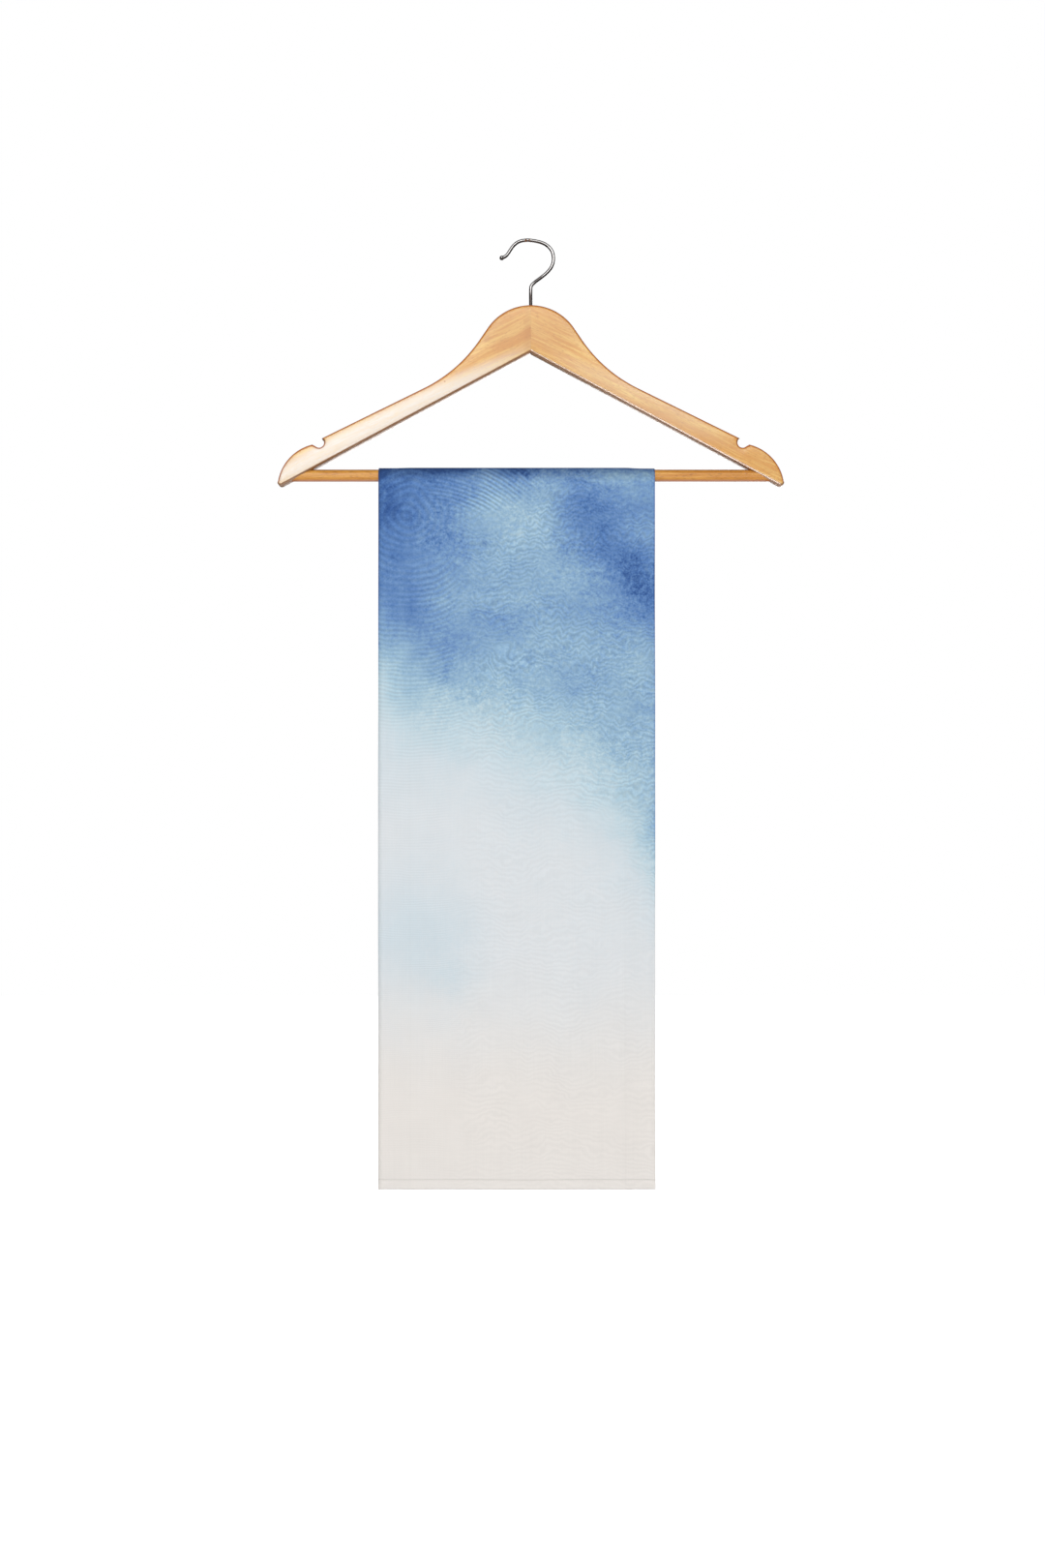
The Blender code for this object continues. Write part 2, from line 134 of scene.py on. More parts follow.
def nodeWith(tree, kind, inputs, output=0, **options):
    # a new node with values on its named or numbered inputs
    node = addNode(tree, kind, **options)
    for name, value in inputs.items():
        plug(value, node.inputs[name])
    return shaderValue(node.outputs[output])


def coordinate(material, kind):
    # where each point lies, or which way it faces, on the piece itself
    return nodeWith(material.node_tree, "ShaderNodeTexCoord", {}, kind)


def seenByCamera(owner):
    return nodeWith(owner.node_tree, "ShaderNodeLightPath", {}, "Is Camera Ray")


def scaled(vector, factor):
    return nodeWith(vector.tree, "ShaderNodeVectorMath", {0: vector, "Scale": factor}, operation="SCALE")


def turnedAboutY(vector, angle):
    given = {"Vector": vector, "Angle": angle}
    return nodeWith(vector.tree, "ShaderNodeVectorRotate", given, rotation_type="Y_AXIS")


def parted(vector):
    node = addNode(vector.tree, "ShaderNodeSeparateXYZ")
    plug(vector, node.inputs[0])
    return [shaderValue(output) for output in node.outputs]


def noise(vector, scale, detail=2.0, roughness=0.5, output="Fac"):
    given = {"Vector": vector, "Scale": scale, "Detail": detail, "Roughness": roughness}
    return nodeWith(vector.tree, "ShaderNodeTexNoise", given, output)


def strayed(vector, scale, reach, detail=2.0, roughness=0.5):
    # a small step in an uneven direction, up to half the reach each way
    return scaled(noise(vector, scale, detail, roughness, "Color") - (0.5, 0.5, 0.5), reach)


def eased(value, start, end, low=0.0, high=1.0):
    # low before start, high after end, and a soft slope between them
    given = {"Value": value, "From Min": start, "From Max": end, "To Min": low, "To Max": high}
    return nodeWith(value.tree, "ShaderNodeMapRange", given, interpolation_type="SMOOTHSTEP")


def blended(amount, first, second):
    # two colours mixed: the first where the amount is 0, the second where it is 1
    return nodeWith(amount.tree, "ShaderNodeMix", {0: amount, 6: first, 7: second}, 2, data_type="RGBA")


def bumped(height, distance, strength=1.0):
    given = {"Height": height, "Distance": distance, "Strength": strength}
    return nodeWith(height.tree, "ShaderNodeBump", given)


def colourRamp(value, stops):
    # stops are (place from 0 to 1, colour)
    node = addNode(value.tree, "ShaderNodeValToRGB")
    plug(value, node.inputs[0])
    elements = node.color_ramp.elements
    while len(elements) < len(stops):
        elements.new(0.5)
    for element, (place, colour) in zip(elements, stops):
        element.position = place
        element.color = colour
    return shaderValue(node.outputs[0])


def newGroup(name, inputs, outputs):
    # inputs and outputs are {socket name: kind}, the kinds being Float, Vector and Color
    tree = bpy.data.node_groups.new(name, "ShaderNodeTree")
    for direction, sockets in (("INPUT", inputs), ("OUTPUT", outputs)):
        for socketName, kind in sockets.items():
            tree.interface.new_socket(socketName, in_out=direction, socket_type=f"NodeSocket{kind}")
    return tree, outputsOf(addNode(tree, "NodeGroupInput")), addNode(tree, "NodeGroupOutput").inputs


def useGroup(group, **values):
    # a value's name is the socket's, with _ for a space
    node = addNode(treeOf(values.values()), "ShaderNodeGroup", node_tree=group)
    for name, value in values.items():
        plug(value, node.inputs[name.replace("_", " ")])
    return outputsOf(node)


def newMaterial(name, constants):
    # constants are {socket name: value}, the same all over and set on the shader's own sockets
    material = bpy.data.materials.new(name)
    material.use_nodes = True
    sockets = material.node_tree.nodes["Principled BSDF"].inputs
    for socketName, value in constants.items():
        sockets[socketName].default_value = value
    return material, sockets


# Camera, light and floor

cameraSettings = settings(place=(-0.0073, -1.4, -0.4773), lens=36.49)  # level, and square to the front

lightSettings = settings(
    sideGlow=0.32,  # the studio is dim to the sides,
    frontGlow=0.62,  # brighter by this much round the camera
    backGlow=-0.20,  # and darker by this much behind
    glowNarrowness=4.0,
    backdropWhite=1.0,
)

# Softboxes: where the middle stands, what it faces, its width, height and power in watts. One
# that names a piece lights nothing, and only shows in the gloss of that piece.
softbox = namedtuple("softbox", "name place facing width height power glossOf")
softboxes = [
    softbox("sheenBox", (-0.43, -1.4, 0.17), (-0.16, 0, -0.17), 0.46, 0.34, 2.4, None),
    softbox("highFill", (0.0, -2.0, 0.80), (0, 0, -0.35), 1.6, 0.6, 12.9, None),
    softbox("lowFill", (0.0, -2.0, -1.10), (0, 0, -0.45), 1.6, 0.6, 12.8, None),
    softbox("underBounce", (0.0, 0.55, -1.45), (0, 0, -0.15), 1.0, 1.0, 7.0, None),
    softbox("backBox", (0.35, 1.8, 0.1), (0, 0, -0.45), 1.1, 1.1, 15.0, None),
    softbox("rightGlint", (-0.29, -0.36, -0.97), (0.1, 0, -0.155), 0.5, 0.7, 18.0, "armRight"),
    softbox("leftGlint", (0.115, 1.4, -0.41), (-0.1, 0, -0.155), 0.55, 0.36, 0.8, "armLeft"),
]

floorSettings = settings(
    height=-1.6,
    size=14.0,
    glow=0.92,
    tones=(srgb(246, 246, 245), srgb(250, 250, 250)),
)


def addToScene(name, data):
    obj = bpy.data.objects.new(name, data)
    bpy.context.scene.collection.objects.link(obj)
    return obj


def addCamera():
    camera = addToScene("camera", bpy.data.cameras.new("camera"))
    camera.location = cameraSettings.place
    camera.rotation_euler = (radians(90), 0, 0)
    camera.data.lens = cameraSettings.lens
    bpy.context.scene.camera = camera


def addSoftboxes():
    for box in softboxes:
        data = bpy.data.lights.new(box.name, "AREA")
        data.shape = "RECTANGLE"
        data.size, data.size_y, data.energy = box.width, box.height, box.power
        light = addToScene(box.name, data)
        light.location = box.place
        light.rotation_euler = (Vector(box.facing) - light.location).to_track_quat("-Z", "Y").to_euler()
        light.visible_camera = False
        light.visible_diffuse = box.glossOf is None


def setWorld():
    # white to the eye, but as a light bright in front, dim to the sides and darker behind
    world = bpy.data.worlds.new("studio")
    bpy.context.scene.world = world
    world.use_nodes = True
    tree = world.node_tree
    tree.nodes.clear()
    along = parted(coordinate(world, "Generated"))[1]
    front, back = (worked("MAXIMUM", along * way, 0) ** lightSettings.glowNarrowness for way in (-1, 1))
    glow = front * lightSettings.frontGlow + lightSettings.sideGlow + back * lightSettings.backGlow
    lit = nodeWith(tree, "ShaderNodeBackground", {"Strength": glow})
    white = {"Color": (1, 1, 1, 1), "Strength": lightSettings.backdropWhite}
    seen = nodeWith(tree, "ShaderNodeBackground", white)
    studio = nodeWith(tree, "ShaderNodeMixShader", {0: seenByCamera(world), 1: lit, 2: seen})
    plug(studio, addNode(tree, "ShaderNodeOutputWorld").inputs[0])


def addFloor():
    mesh = bpy.data.meshes.new("floor")
    shape = bmesh.new()
    bmesh.ops.create_grid(shape, x_segments=1, y_segments=1, size=floorSettings.size / 2)
    shape.to_mesh(mesh)
    shape.free()
    floor = addToScene("floor", mesh)
    floor.location.z = floorSettings.height
    constants = {"Roughness": 0.9, "Specular IOR Level": 0.2, "Emission Strength": floorSettings.glow}
    material, sockets = newMaterial("paleFloor", constants)
    cloudy = noise(coordinate(material, "Object"), 0.6)
    plug(blended(cloudy, *floorSettings.tones), sockets["Base Color"])
    plug(blended(seenByCamera(material), (0, 0, 0, 1), (1, 1, 1, 1)), sockets["Emission Color"])
    mesh.materials.append(material)


addCamera()
addSoftboxes()
setWorld()
addFloor()
bpy.context.scene.view_settings.view_transform = "Standard"
print("camera, light and floor set")


# Effects that several materials share


def makeSoftPatch():
    # 1 in the middle of an oval, falling to 0 at its edge
    tree, given, out = newGroup(
        "softPatch",
        {"Vector": "Vector", "Centre": "Vector", "Half Size": "Vector", "Softness": "Float"},
        {"Mask": "Float"},
    )
    reach = worked("LENGTH", (given["Vector"] - given["Centre"]) / given["Half Size"])
    plug(eased(reach, 1.0 - given["Softness"], 1.0, 1.0, 0.0), out["Mask"])
    return tree


grainSettings = settings(
    bands=(7, 60, 90),  # how close they lie: along, through and across the board
    fibres=(40, 500, 700),
    flecks=(260, 1100, 1300),
    bend=6 * mm,  # the grain wanders this far,
    bendScale=14.0,  # so many times in a metre
    fibreShare=0.8,  # how much of the tone is in the fibres
    toneRange=(0.30, 0.72),  # from the dark tone to the light one
    fleckRange=(0.56, 0.72),
    fleckStrength=0.45,
)


def makeWoodGrain():
    # grain that runs along X once it is turned by Angle about Y
    tree, given, out = newGroup(
        "woodGrain",
        {"Vector": "Vector", "Angle": "Float", "Light": "Color", "Dark": "Color", "Fleck": "Color"},
        {"Color": "Color", "Height": "Float"},
    )
    grain = grainSettings
    turned = turnedAboutY(given["Vector"], given["Angle"])
    place = turned + strayed(turned, grain.bendScale, grain.bend, 1.0)
    bands = noise(place * grain.bands, 1.0, 3.0, 0.55)
    fibres = noise(place * grain.fibres, 1.0, 2.0, 0.6)
    flecks = noise(place * grain.flecks, 1.0, 1.0)
    tone = (fibres - 0.5) * grain.fibreShare + bands
    colour = blended(eased(tone, *grain.toneRange), given["Dark"], given["Light"])
    marks = eased(flecks, *grain.fleckRange) * grain.fleckStrength
    plug(blended(marks, colour, given["Fleck"]), out["Color"])
    plug(fibres * 0.6 + flecks * -0.3, out["Height"])
    return tree


def makeSquareOn():
    # 1 where the surface faces square to the front or back, and 0 where it turns away, as on a rim
    inputs = {"Normal": "Vector", "Start": "Float", "End": "Float"}
    tree, given, out = newGroup("squareOn", inputs, {"Mask": "Float"})
    plug(eased(abs(parted(given["Normal"])[1]), given["Start"], given["End"]), out["Mask"])
    return tree


def makeThreadWeave():
    # a fine plain weave, over and under, on a flat cloth measured in metres
    inputs = {"Vector": "Vector", "Threads": "Float"}
    tree, given, out = newGroup("threadWeave", inputs, {"Height": "Float", "Slub": "Float"})
    ways = parted(given["Vector"])[:2]
    warp, weft = (worked("SINE", way * given["Threads"] * pi) for way in ways)
    plug(warp * weft * 0.35 + worked("MAXIMUM", abs(warp), abs(weft)), out["Height"])
    upright, level = (noise(given["Vector"] * stretch, 1.0) for stretch in ((1500, 14, 1), (14, 1500, 1)))
    plug((upright + level) * 0.5, out["Slub"])
    return tree


softPatch = makeSoftPatch()
woodGrain = makeWoodGrain()
squareOn = makeSquareOn()
threadWeave = makeThreadWeave()
print("shared effects made")


def ovalMask(place, centre, size, softness):
    return useGroup(softPatch, Vector=place, Centre=centre, Half_Size=size, Softness=softness)["Mask"]


# A patch on what faces the front or back, in mm from the hook: place, half size and how strong
patch = namedtuple("patch", "x z wide tall strength")


def patchMask(place, one, softness):
    level = place * (1, 0, 1)
    centre, size = (one.x * mm, 0, one.z * mm), (one.wide * mm, 1, one.tall * mm)
    return ovalMask(level, centre, size, softness) * one.strength


def squareMask(normal, spread):
    return useGroup(squareOn, Normal=normal, Start=spread[0], End=spread[1])["Mask"]


# Meshes and pieces


def fillMesh(mesh, shape, sharpAngle=180):
    # puts a finished bmesh into the mesh, with its faces turned outwards
    bmesh.ops.recalc_face_normals(shape, faces=shape.faces)
    shape.to_mesh(mesh)
    shape.free()
    mesh.shade_smooth()
    mesh.set_sharp_from_angle(angle=radians(sharpAngle))


def addRing(shape, middle, outward, sideways, radius, sides):
    angles = (tau * side / sides for side in range(sides))
    spokes = (outward * cos(angle) + sideways * sin(angle) for angle in angles)
    return [shape.verts.new(middle + spoke * radius) for spoke in spokes]


def closeTube(shape, rings):
    # joins rings of points side by side and closes both ends
    for first, second in zip(rings, rings[1:]):
        for i in range(len(first)):
            j = (i + 1) % len(first)
            shape.faces.new((first[i], first[j], second[j], second[i]))
    shape.faces.new(rings[0])
    shape.faces.new(reversed(rings[-1]))


def addPiece(mesh, material, slot, *nodes):
    # a piece that rides on the one body and stands for its CAD nodes
    mesh.materials.append(material)
    piece = addToScene(mesh.name, mesh)
    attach(piece, "root")
    if nodes:
        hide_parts(*nodes)
    return piece


# The cloth: one length folded crosswise once, then lengthwise into four plies, over the bar

cloth = settings(
    sideReach=0.45 * mm,  # the cloth reaches this far past its solid at each side
    shell=0.28 * mm,  # one ply, which is two layers of the cloth
    barClearance=0.3 * mm,
    leftSetback=28 * mm,  # the innermost end stops this far from the left edge
    rightSetback=26 * mm,  # the inner fold stops this far from the right edge
    stepRun=14 * mm,  # the outer ply climbs onto the plies below over this width
    foldRun=0.6 * mm,  # how far a fold's nose reaches past its plies
    leftInset=0.4 * mm,
    topGap=0.17 * mm,  # air under the outer ply on the bar,
    dropGap=0.75 * mm,  # and down the drops
    gapRun=60 * mm,
    edgeLift=0.55 * mm,  # the free left edge curls out a little,
    edgeLiftRun=9 * mm,
    edgeLiftWaves=(47 * mm, 111 * mm),  # more at some heights than at others
    sideWander=0.12 * mm,  # the side edges aren't quite straight
    wanderWaves=(63 * mm, 23 * mm),
    rowSpacing=6 * mm,
    columnSpacing=4.4 * mm,
    hiddenSpacing=6.0 * mm,  # the same on the plies below
    bendSteps=22,
    foldSteps=6,
    stepSteps=6,
    # how the plies lie on each other, as shares of their thickness together, from the bar outwards
    plyLevels={"under": 0.2, "middle": 0.55, "upper": 0.85},
    # a third number beside each point's place on the flat cloth: how deep its ply lies
    plyDepths={"outer": 0.0, "under": 0.3, "middle": 0.6, "upper": 0.9},
)

clothLow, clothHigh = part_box("front_hem")
clothLow.x -= cloth.sideReach
clothHigh.x += cloth.sideReach
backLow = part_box("back_outer_ply")[0]
barLow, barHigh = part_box("trouser_bar")
barHeight = (barLow.z + barHigh.z) / 2
barRadius = (barHigh.z - barLow.z) / 2
clothWidth = clothHigh.x - clothLow.x
frontDrop = barHeight - clothLow.z
backDrop = barHeight - backLow.z

# Down a drop, in mm: distance below the bar's axis, thickness of the hidden plies together,
# and how far the whole bundle stands out from the vertical
section = namedtuple("section", "below plies outward")
frontSections = [
    section(0, 1.0, 0.0),
    section(25, 1.3, 0.0),
    section(70, 1.8, 0.2),
    section(150, 2.0, 0.6),
    section(300, 2.1, 1.0),
    section(450, 2.1, 0.7),
    section(560, 2.2, 0.9),
    section(630, 2.2, 1.5),
]
backSections = [
    section(0, 1.0, 0.0),
    section(25, 1.3, 0.0),
    section(70, 1.8, 0.3),
    section(150, 2.1, 0.8),
    section(300, 2.2, 0.9),
    section(450, 2.1, 1.2),
    section(560, 2.2, 1.0),
    section(630, 2.3, 1.6),
]

# Soft vertical waves, in mm: place across, half width, depth at the foot, and where it starts
wave = namedtuple("wave", "across halfWidth depth start")
frontWaves = [
    wave(64, 34, -0.7, 180),
    wave(128, 40, 0.8, 260),
    wave(188, 30, -0.6, 120),
    wave(241, 26, 0.7, 330),
]
backWaves = [
    wave(20, 30, 0.6, 300),
    wave(88, 38, 0.9, 160),
    wave(150, 34, -0.8, 220),
    wave(214, 30, 0.7, 140),
]

# Shallow creases, in mm: place across at its top, half width, from and to below the bar,
# height (a trough is less than 0), and drift across for each 100 mm down
crease = namedtuple("crease", "across halfWidth top bottom height drift")
frontCreases = [
    crease(36, 7, 10, 190, -0.30, 6),
    crease(96, 9, 4, 130, 0.26, -5),
    crease(152, 8, 8, 230, -0.30, 7),
    crease(206, 7, 4, 150, 0.28, -8),
    crease(60, 10, 260, 470, 0.30, 5),
    crease(170, 10, 330, 560, -0.32, -6),
    crease(112, 12, 430, 620, 0.30, 4),
    crease(224, 6, 420, 640, -0.25, -3),
]
backCreases = [
    crease(48, 8, 6, 170, 0.30, -6),
    crease(120, 9, 10, 220, -0.34, 5),
    crease(190, 8, 4, 140, 0.28, -7),
    crease(84, 10, 250, 460, -0.32, 4),
    crease(150, 11, 380, 600, 0.32, -5),
    crease(30, 8, 440, 620, 0.28, 3),
]


def softRise(value, start, end):
    share = min(max((value - start) / (end - start), 0.0), 1.0)
    return share * share * (3 - 2 * share)


def softBump(away):
    # 1 in the middle and 0 from one half width away
    return 0.5 + 0.5 * cos(pi * min(abs(away), 1.0))


def sectionAt(sections, below):
    # thickness of the hidden plies and outward stand, in metres
    below = max(below / mm, 0.0)
    for upper, lower in zip(sections, sections[1:]):
        if below <= lower.below:
            break
    share = softRise(below, upper.below, lower.below)
    plies = upper.plies + (lower.plies - upper.plies) * share
    outward = upper.outward + (lower.outward - upper.outward) * share
    return plies * mm, outward * mm


def pushAt(waves, creases, across, below):
    # how far waves and creases move the whole bundle out, in metres
    push = 0.0
    for one in waves:
        growth = softRise(below / mm, one.start, frontDrop / mm)
        push += one.depth * growth * softBump((across / mm - one.across) / one.halfWidth)
    for one in creases:
        share = (below / mm - one.top) / (one.bottom - one.top)
        if 0 < share < 1:
            centre = one.across + one.drift * (below / mm - one.top) / 100
            rise = one.height * sin(pi * share)
            push += rise * softBump((across / mm - centre) / one.halfWidth)
    return push * mm


def outerLevel(across, plies, gap):
    # height of the outer ply's middle over the bar's clearance
    width, run = clothWidth, cloth.stepRun
    fromLeft = softRise(across, cloth.leftSetback - run, cloth.leftSetback)
    fromRight = softRise(width - across, cloth.rightSetback - run, cloth.rightSetback)
    return plies * (0.4 + 0.3 * fromRight + 0.3 * fromLeft * fromRight) + gap


# One line of points down the cloth. It lies on ply "first", or part of the way round a fold to
# ply "second". flat is its place across the unfolded cloth.
column = namedtuple("column", "across first second turn flat")


def clothColumns():
    # from the free left edge through the four plies to the inner end
    inset = cloth.leftInset
    left, right = cloth.leftSetback, clothWidth - cloth.rightSetback
    nose = cloth.foldRun
    stretches = [
        ("outer", 0.0, clothWidth - nose),
        ("under", clothWidth - nose, inset + nose),
        ("middle", inset + nose, right - nose),
        ("upper", right - nose, left),
    ]
    columns, flat = [], 0.0
    for i, (ply, start, end) in enumerate(stretches):
        spacing = cloth["columnSpacing" if ply == "outer" else "hiddenSpacing"]
        steps = ceil(abs(end - start) / spacing)
        places = [start + (end - start) * step / steps for step in range(steps + 1)]
        if ply == "outer":
            places = sorted({*places, *outerStepPlaces()})
        columns += [column(place, ply, ply, 0.0, flat + abs(place - start)) for place in places]
        flat += abs(end - start)
        if i + 1 < len(stretches):
            outward = copysign(1, end - start)
            for step in range(1, cloth.foldSteps):
                turn = pi * step / cloth.foldSteps
                reach = end + outward * nose * sin(turn)
                place = flat + 2 * nose * turn / pi
                columns.append(column(reach, ply, stretches[i + 1][0], turn, place))
            flat += 2 * nose
    return columns, flat


def outerStepPlaces():
    # more columns where the outer ply climbs onto the plies below
    run, steps = cloth.stepRun, cloth.stepSteps
    starts = (cloth.leftSetback - run, clothWidth - cloth.rightSetback)
    return [start + run * step / steps for start in starts for step in range(steps + 1)]


# One row of points across the cloth: kind is -1 on the front drop, 0 on the bend and 1 on the
# back drop; reach is the distance below the bar's axis, or the turn round the bar on the bend
row = namedtuple("row", "kind reach along")


def dropDistances(drop):
    # distances below the bar's axis, closer together near the bar
    near = [2.0 * mm, 5.0 * mm, 9.0 * mm, 14.0 * mm]
    steps = round((drop - 20 * mm) / cloth.rowSpacing)
    return [*near, *np.linspace(20 * mm, drop, steps + 1)]


bendRadius = barRadius + cloth.barClearance + frontSections[0].plies * mm + cloth.topGap
bendLength = pi * bendRadius
middleAlong = frontDrop + bendLength / 2  # the length along the cloth from the front hem to the top


def clothRows():
    # from the front hem over the bar to the fold at the back foot
    rows = [row(-1, below, frontDrop - below) for below in reversed(dropDistances(frontDrop))]
    steps = cloth.bendSteps
    rows += [row(0, pi * i / steps, frontDrop + bendLength * i / steps) for i in range(steps + 1)]
    rows += [row(1, below, frontDrop + bendLength + below) for below in dropDistances(backDrop)]
    return rows


def levelOf(ply, across, plies, gap):
    return outerLevel(across, plies, gap) if ply == "outer" else plies * cloth.plyLevels[ply]


def clothPoint(line, cross, standOff=0.0):
    # the middle of the shell where a column crosses a row
    below = cross.reach if cross.kind else 0.0
    sections, waves, creases = (frontSections, frontWaves, frontCreases)
    if cross.kind > 0:
        sections, waves, creases = (backSections, backWaves, backCreases)
    plies, outward = sectionAt(sections, below)
    gapShare = softRise(below, 0, cloth.gapRun)
    gap = cloth.topGap + (cloth.dropGap - cloth.topGap) * gapShare
    first, second = (levelOf(ply, line.across, plies, gap) for ply in (line.first, line.second))
    level = first + (second - first) * (0.5 - 0.5 * cos(line.turn))
    offset = barRadius + cloth.barClearance + level + standOff
    if line.first == "outer" and line.turn == 0:
        near = 1 - min(line.across / cloth.edgeLiftRun, 1.0)
        short, long = (cross.along / run for run in cloth.edgeLiftWaves)
        uneven = 0.55 + 0.45 * sin(short) * sin(long + 1)
        offset += cloth.edgeLift * near * near * uneven * gapShare
    long, short = (cross.along / run for run in cloth.wanderWaves)
    wander = sin(long + 2.1 * line.across / clothWidth) + 0.5 * sin(short + 1.3)
    across = clothLow.x + line.across + cloth.sideWander * wander * gapShare
    if cross.kind == 0:
        return Vector((across, -cos(cross.reach) * offset, barHeight + sin(cross.reach) * offset))
    push = outward + pushAt(waves, creases, line.across, below)
    return Vector((across, cross.kind * (offset + push), barHeight - below))


def addShell(name, rows, thickness, material, *nodes):
    # a thin shell through every crossing, which keeps its place on the flat cloth for the print
    mesh = bpy.data.meshes.new(name)
    points = [clothPoint(line, cross) for cross in rows for line in columns]
    count = len(columns)
    starts = [i * count + j for i in range(len(rows) - 1) for j in range(count - 1)]
    mesh.from_pydata(points, [], [(i, i + 1, i + count + 1, i + count) for i in starts])
    depths = cloth.plyDepths
    places = [(line.across, cross.along, depths[line.first]) for cross in rows for line in columns]
    flatPlace = mesh.attributes.new("flatPlace", "FLOAT_VECTOR", "POINT")
    flatPlace.data.foreach_set("vector", np.array(places, dtype=np.float32).ravel())
    mesh.shade_smooth()
    piece = addPiece(mesh, material, "cloth", *nodes)
    solidify = piece.modifiers.new("cloth thickness", "SOLIDIFY")
    solidify.thickness = thickness
    solidify.offset = 0
    return piece


# The print: a watercolour wash, blue on the bar and cream at both ends of the cloth

# Paint is laid on in strengths from 0, bare cloth, to 1, the deepest blue. A stain adds to the
# strength or, when less than 0, lifts it. In mm: across from the left edge, up from the front
# hem along the cloth, and its half width and half height.
stain = namedtuple("stain", "across up wide tall strength")

wash = settings(
    paintEdge=425.0,  # height where the paint fades out, in mm,
    paintEdgeDrop=125.0,  # how far it has dropped at the right side
    paintEdgeBend=3.3,  # and how late it drops
    strengths=(  # by height over that edge
        (-150, 0.03),
        (-105, 0.05),
        (-60, 0.12),
        (-25, 0.25),
        (0, 0.36),
        (30, 0.49),
        (60, 0.58),
        (115, 0.65),
        (220, 0.71),
    ),
    shades=(  # by strength
        (0.00, srgb(229, 231, 233)),
        (0.12, srgb(215, 225, 231)),
        (0.25, srgb(200, 219, 228)),
        (0.38, srgb(177, 205, 220)),
        (0.50, srgb(156, 189, 213)),
        (0.62, srgb(137, 172, 205)),
        (0.74, srgb(114, 151, 198)),
        (0.86, srgb(89, 128, 185)),
        (0.94, srgb(67, 105, 165)),
        (1.00, srgb(50, 86, 148)),
    ),
    stains=[
        stain(2, 606, 110, 160, 0.24),
        # the next four stains deepen the band along the top: partly print, partly painted shade where the
        # cloth turns over the bar
        stain(56, 641, 150, 17, 0.12),
        stain(96, 644, 260, 26, 0.11),
        stain(120, 635, 500, 16, 0.13),
        stain(14, 640, 34, 24, 0.15),
        stain(32, 500, 46, 46, 0.15),
        stain(128, 582, 66, 60, -0.20),
        stain(96, 600, 50, 30, -0.05),
        stain(150, 520, 80, 74, -0.06),
        stain(172, 582, 46, 50, 0.13),
        stain(200, 600, 34, 18, 0.08),
        stain(204, 562, 40, 36, 0.13),
        stain(228, 546, 32, 36, 0.14),
        stain(242, 512, 26, 54, 0.09),
        stain(214, 520, 50, 50, 0.08),
        stain(216, 626, 62, 10, -0.13),
        stain(220, 430, 84, 110, -0.10),
        stain(66, 470, 46, 34, 0.14),
        stain(84, 442, 26, 26, 0.11),
        stain(110, 494, 36, 26, 0.12),
        stain(168, 446, 60, 34, 0.08),
        stain(2, 424, 34, 76, -0.10),
        stain(240, 300, 36, 74, 0.08),
        stain(34, 222, 92, 96, 0.12),
        stain(64, 186, 40, 26, 0.06),
        stain(60, 716, 110, 80, 0.20),
        stain(176, 776, 90, 96, -0.12),
        stain(90, 842, 70, 50, 0.10),
        stain(220, 690, 64, 60, 0.20),
        stain(70, 1050, 110, 76, 0.12),
    ],
    wanders=((90.0, 16.0), (28.0, 7.0), (8.0, 3.0)),  # swirls in the paint: size and reach, in mm
    clouding=0.46,  # how blotchy the paint is,
    cloudSize=55.0,
    grains=((8.0, 0.26), (3.4, 0.38), (1.6, 0.34)),  # and how its grains settle: size in mm and strength
    busyness=(0.7, 1.05),  # in its calm and its busy places
    calm=0.6,  # the paint is calmer beside the free left edge
    calmEdge=(18.0, 55.0),
    cream=srgb(236, 231, 226),
    creamStart=225.0,  # the bare cloth warms from grey to cream between these heights
    creamEnd=60.0,
    edgeStrength=0.16,  # the paint is deeper along the folds and edges at the sides,
    edgeRun=1.6,  # over this width, in mm
    ringCentre=(25.0, 590.0),  # watered rings, from the weave of one ply on the next
    ringPitch=(0.14, 0.0005),  # rings for each mm, and how they crowd further out
    ringWander=1.1,
    ringEnd=(50.0, 92.0),  # across, the rings give way here
    zigzagWidth=6.2,  # to level zigzags of this half width, in mm,
    zigzagRise=3.2,  # height
    zigzagPitch=4.8,  # and distance apart,
    zigzagBend=26.0,  # which run this far out of step
    slantPlace=(94.0, 614.0),  # and high in the middle to close slanting lines
    slantReach=(64.0, 27.0),
    slantCentre=(36.0, 500.0),  # which bend round this far place
    slantPitch=3.6,
    slanting=2.3,
    watering=0.11,  # how strong all of these are on the paint,
    paleWatering=0.008,  # on the bare cloth
    edgeWatering=0.95,  # and, as a share, on the strip at the left with fewer plies
    streak=0.03,  # faint threads down the cloth
    mottle=0.08,
)


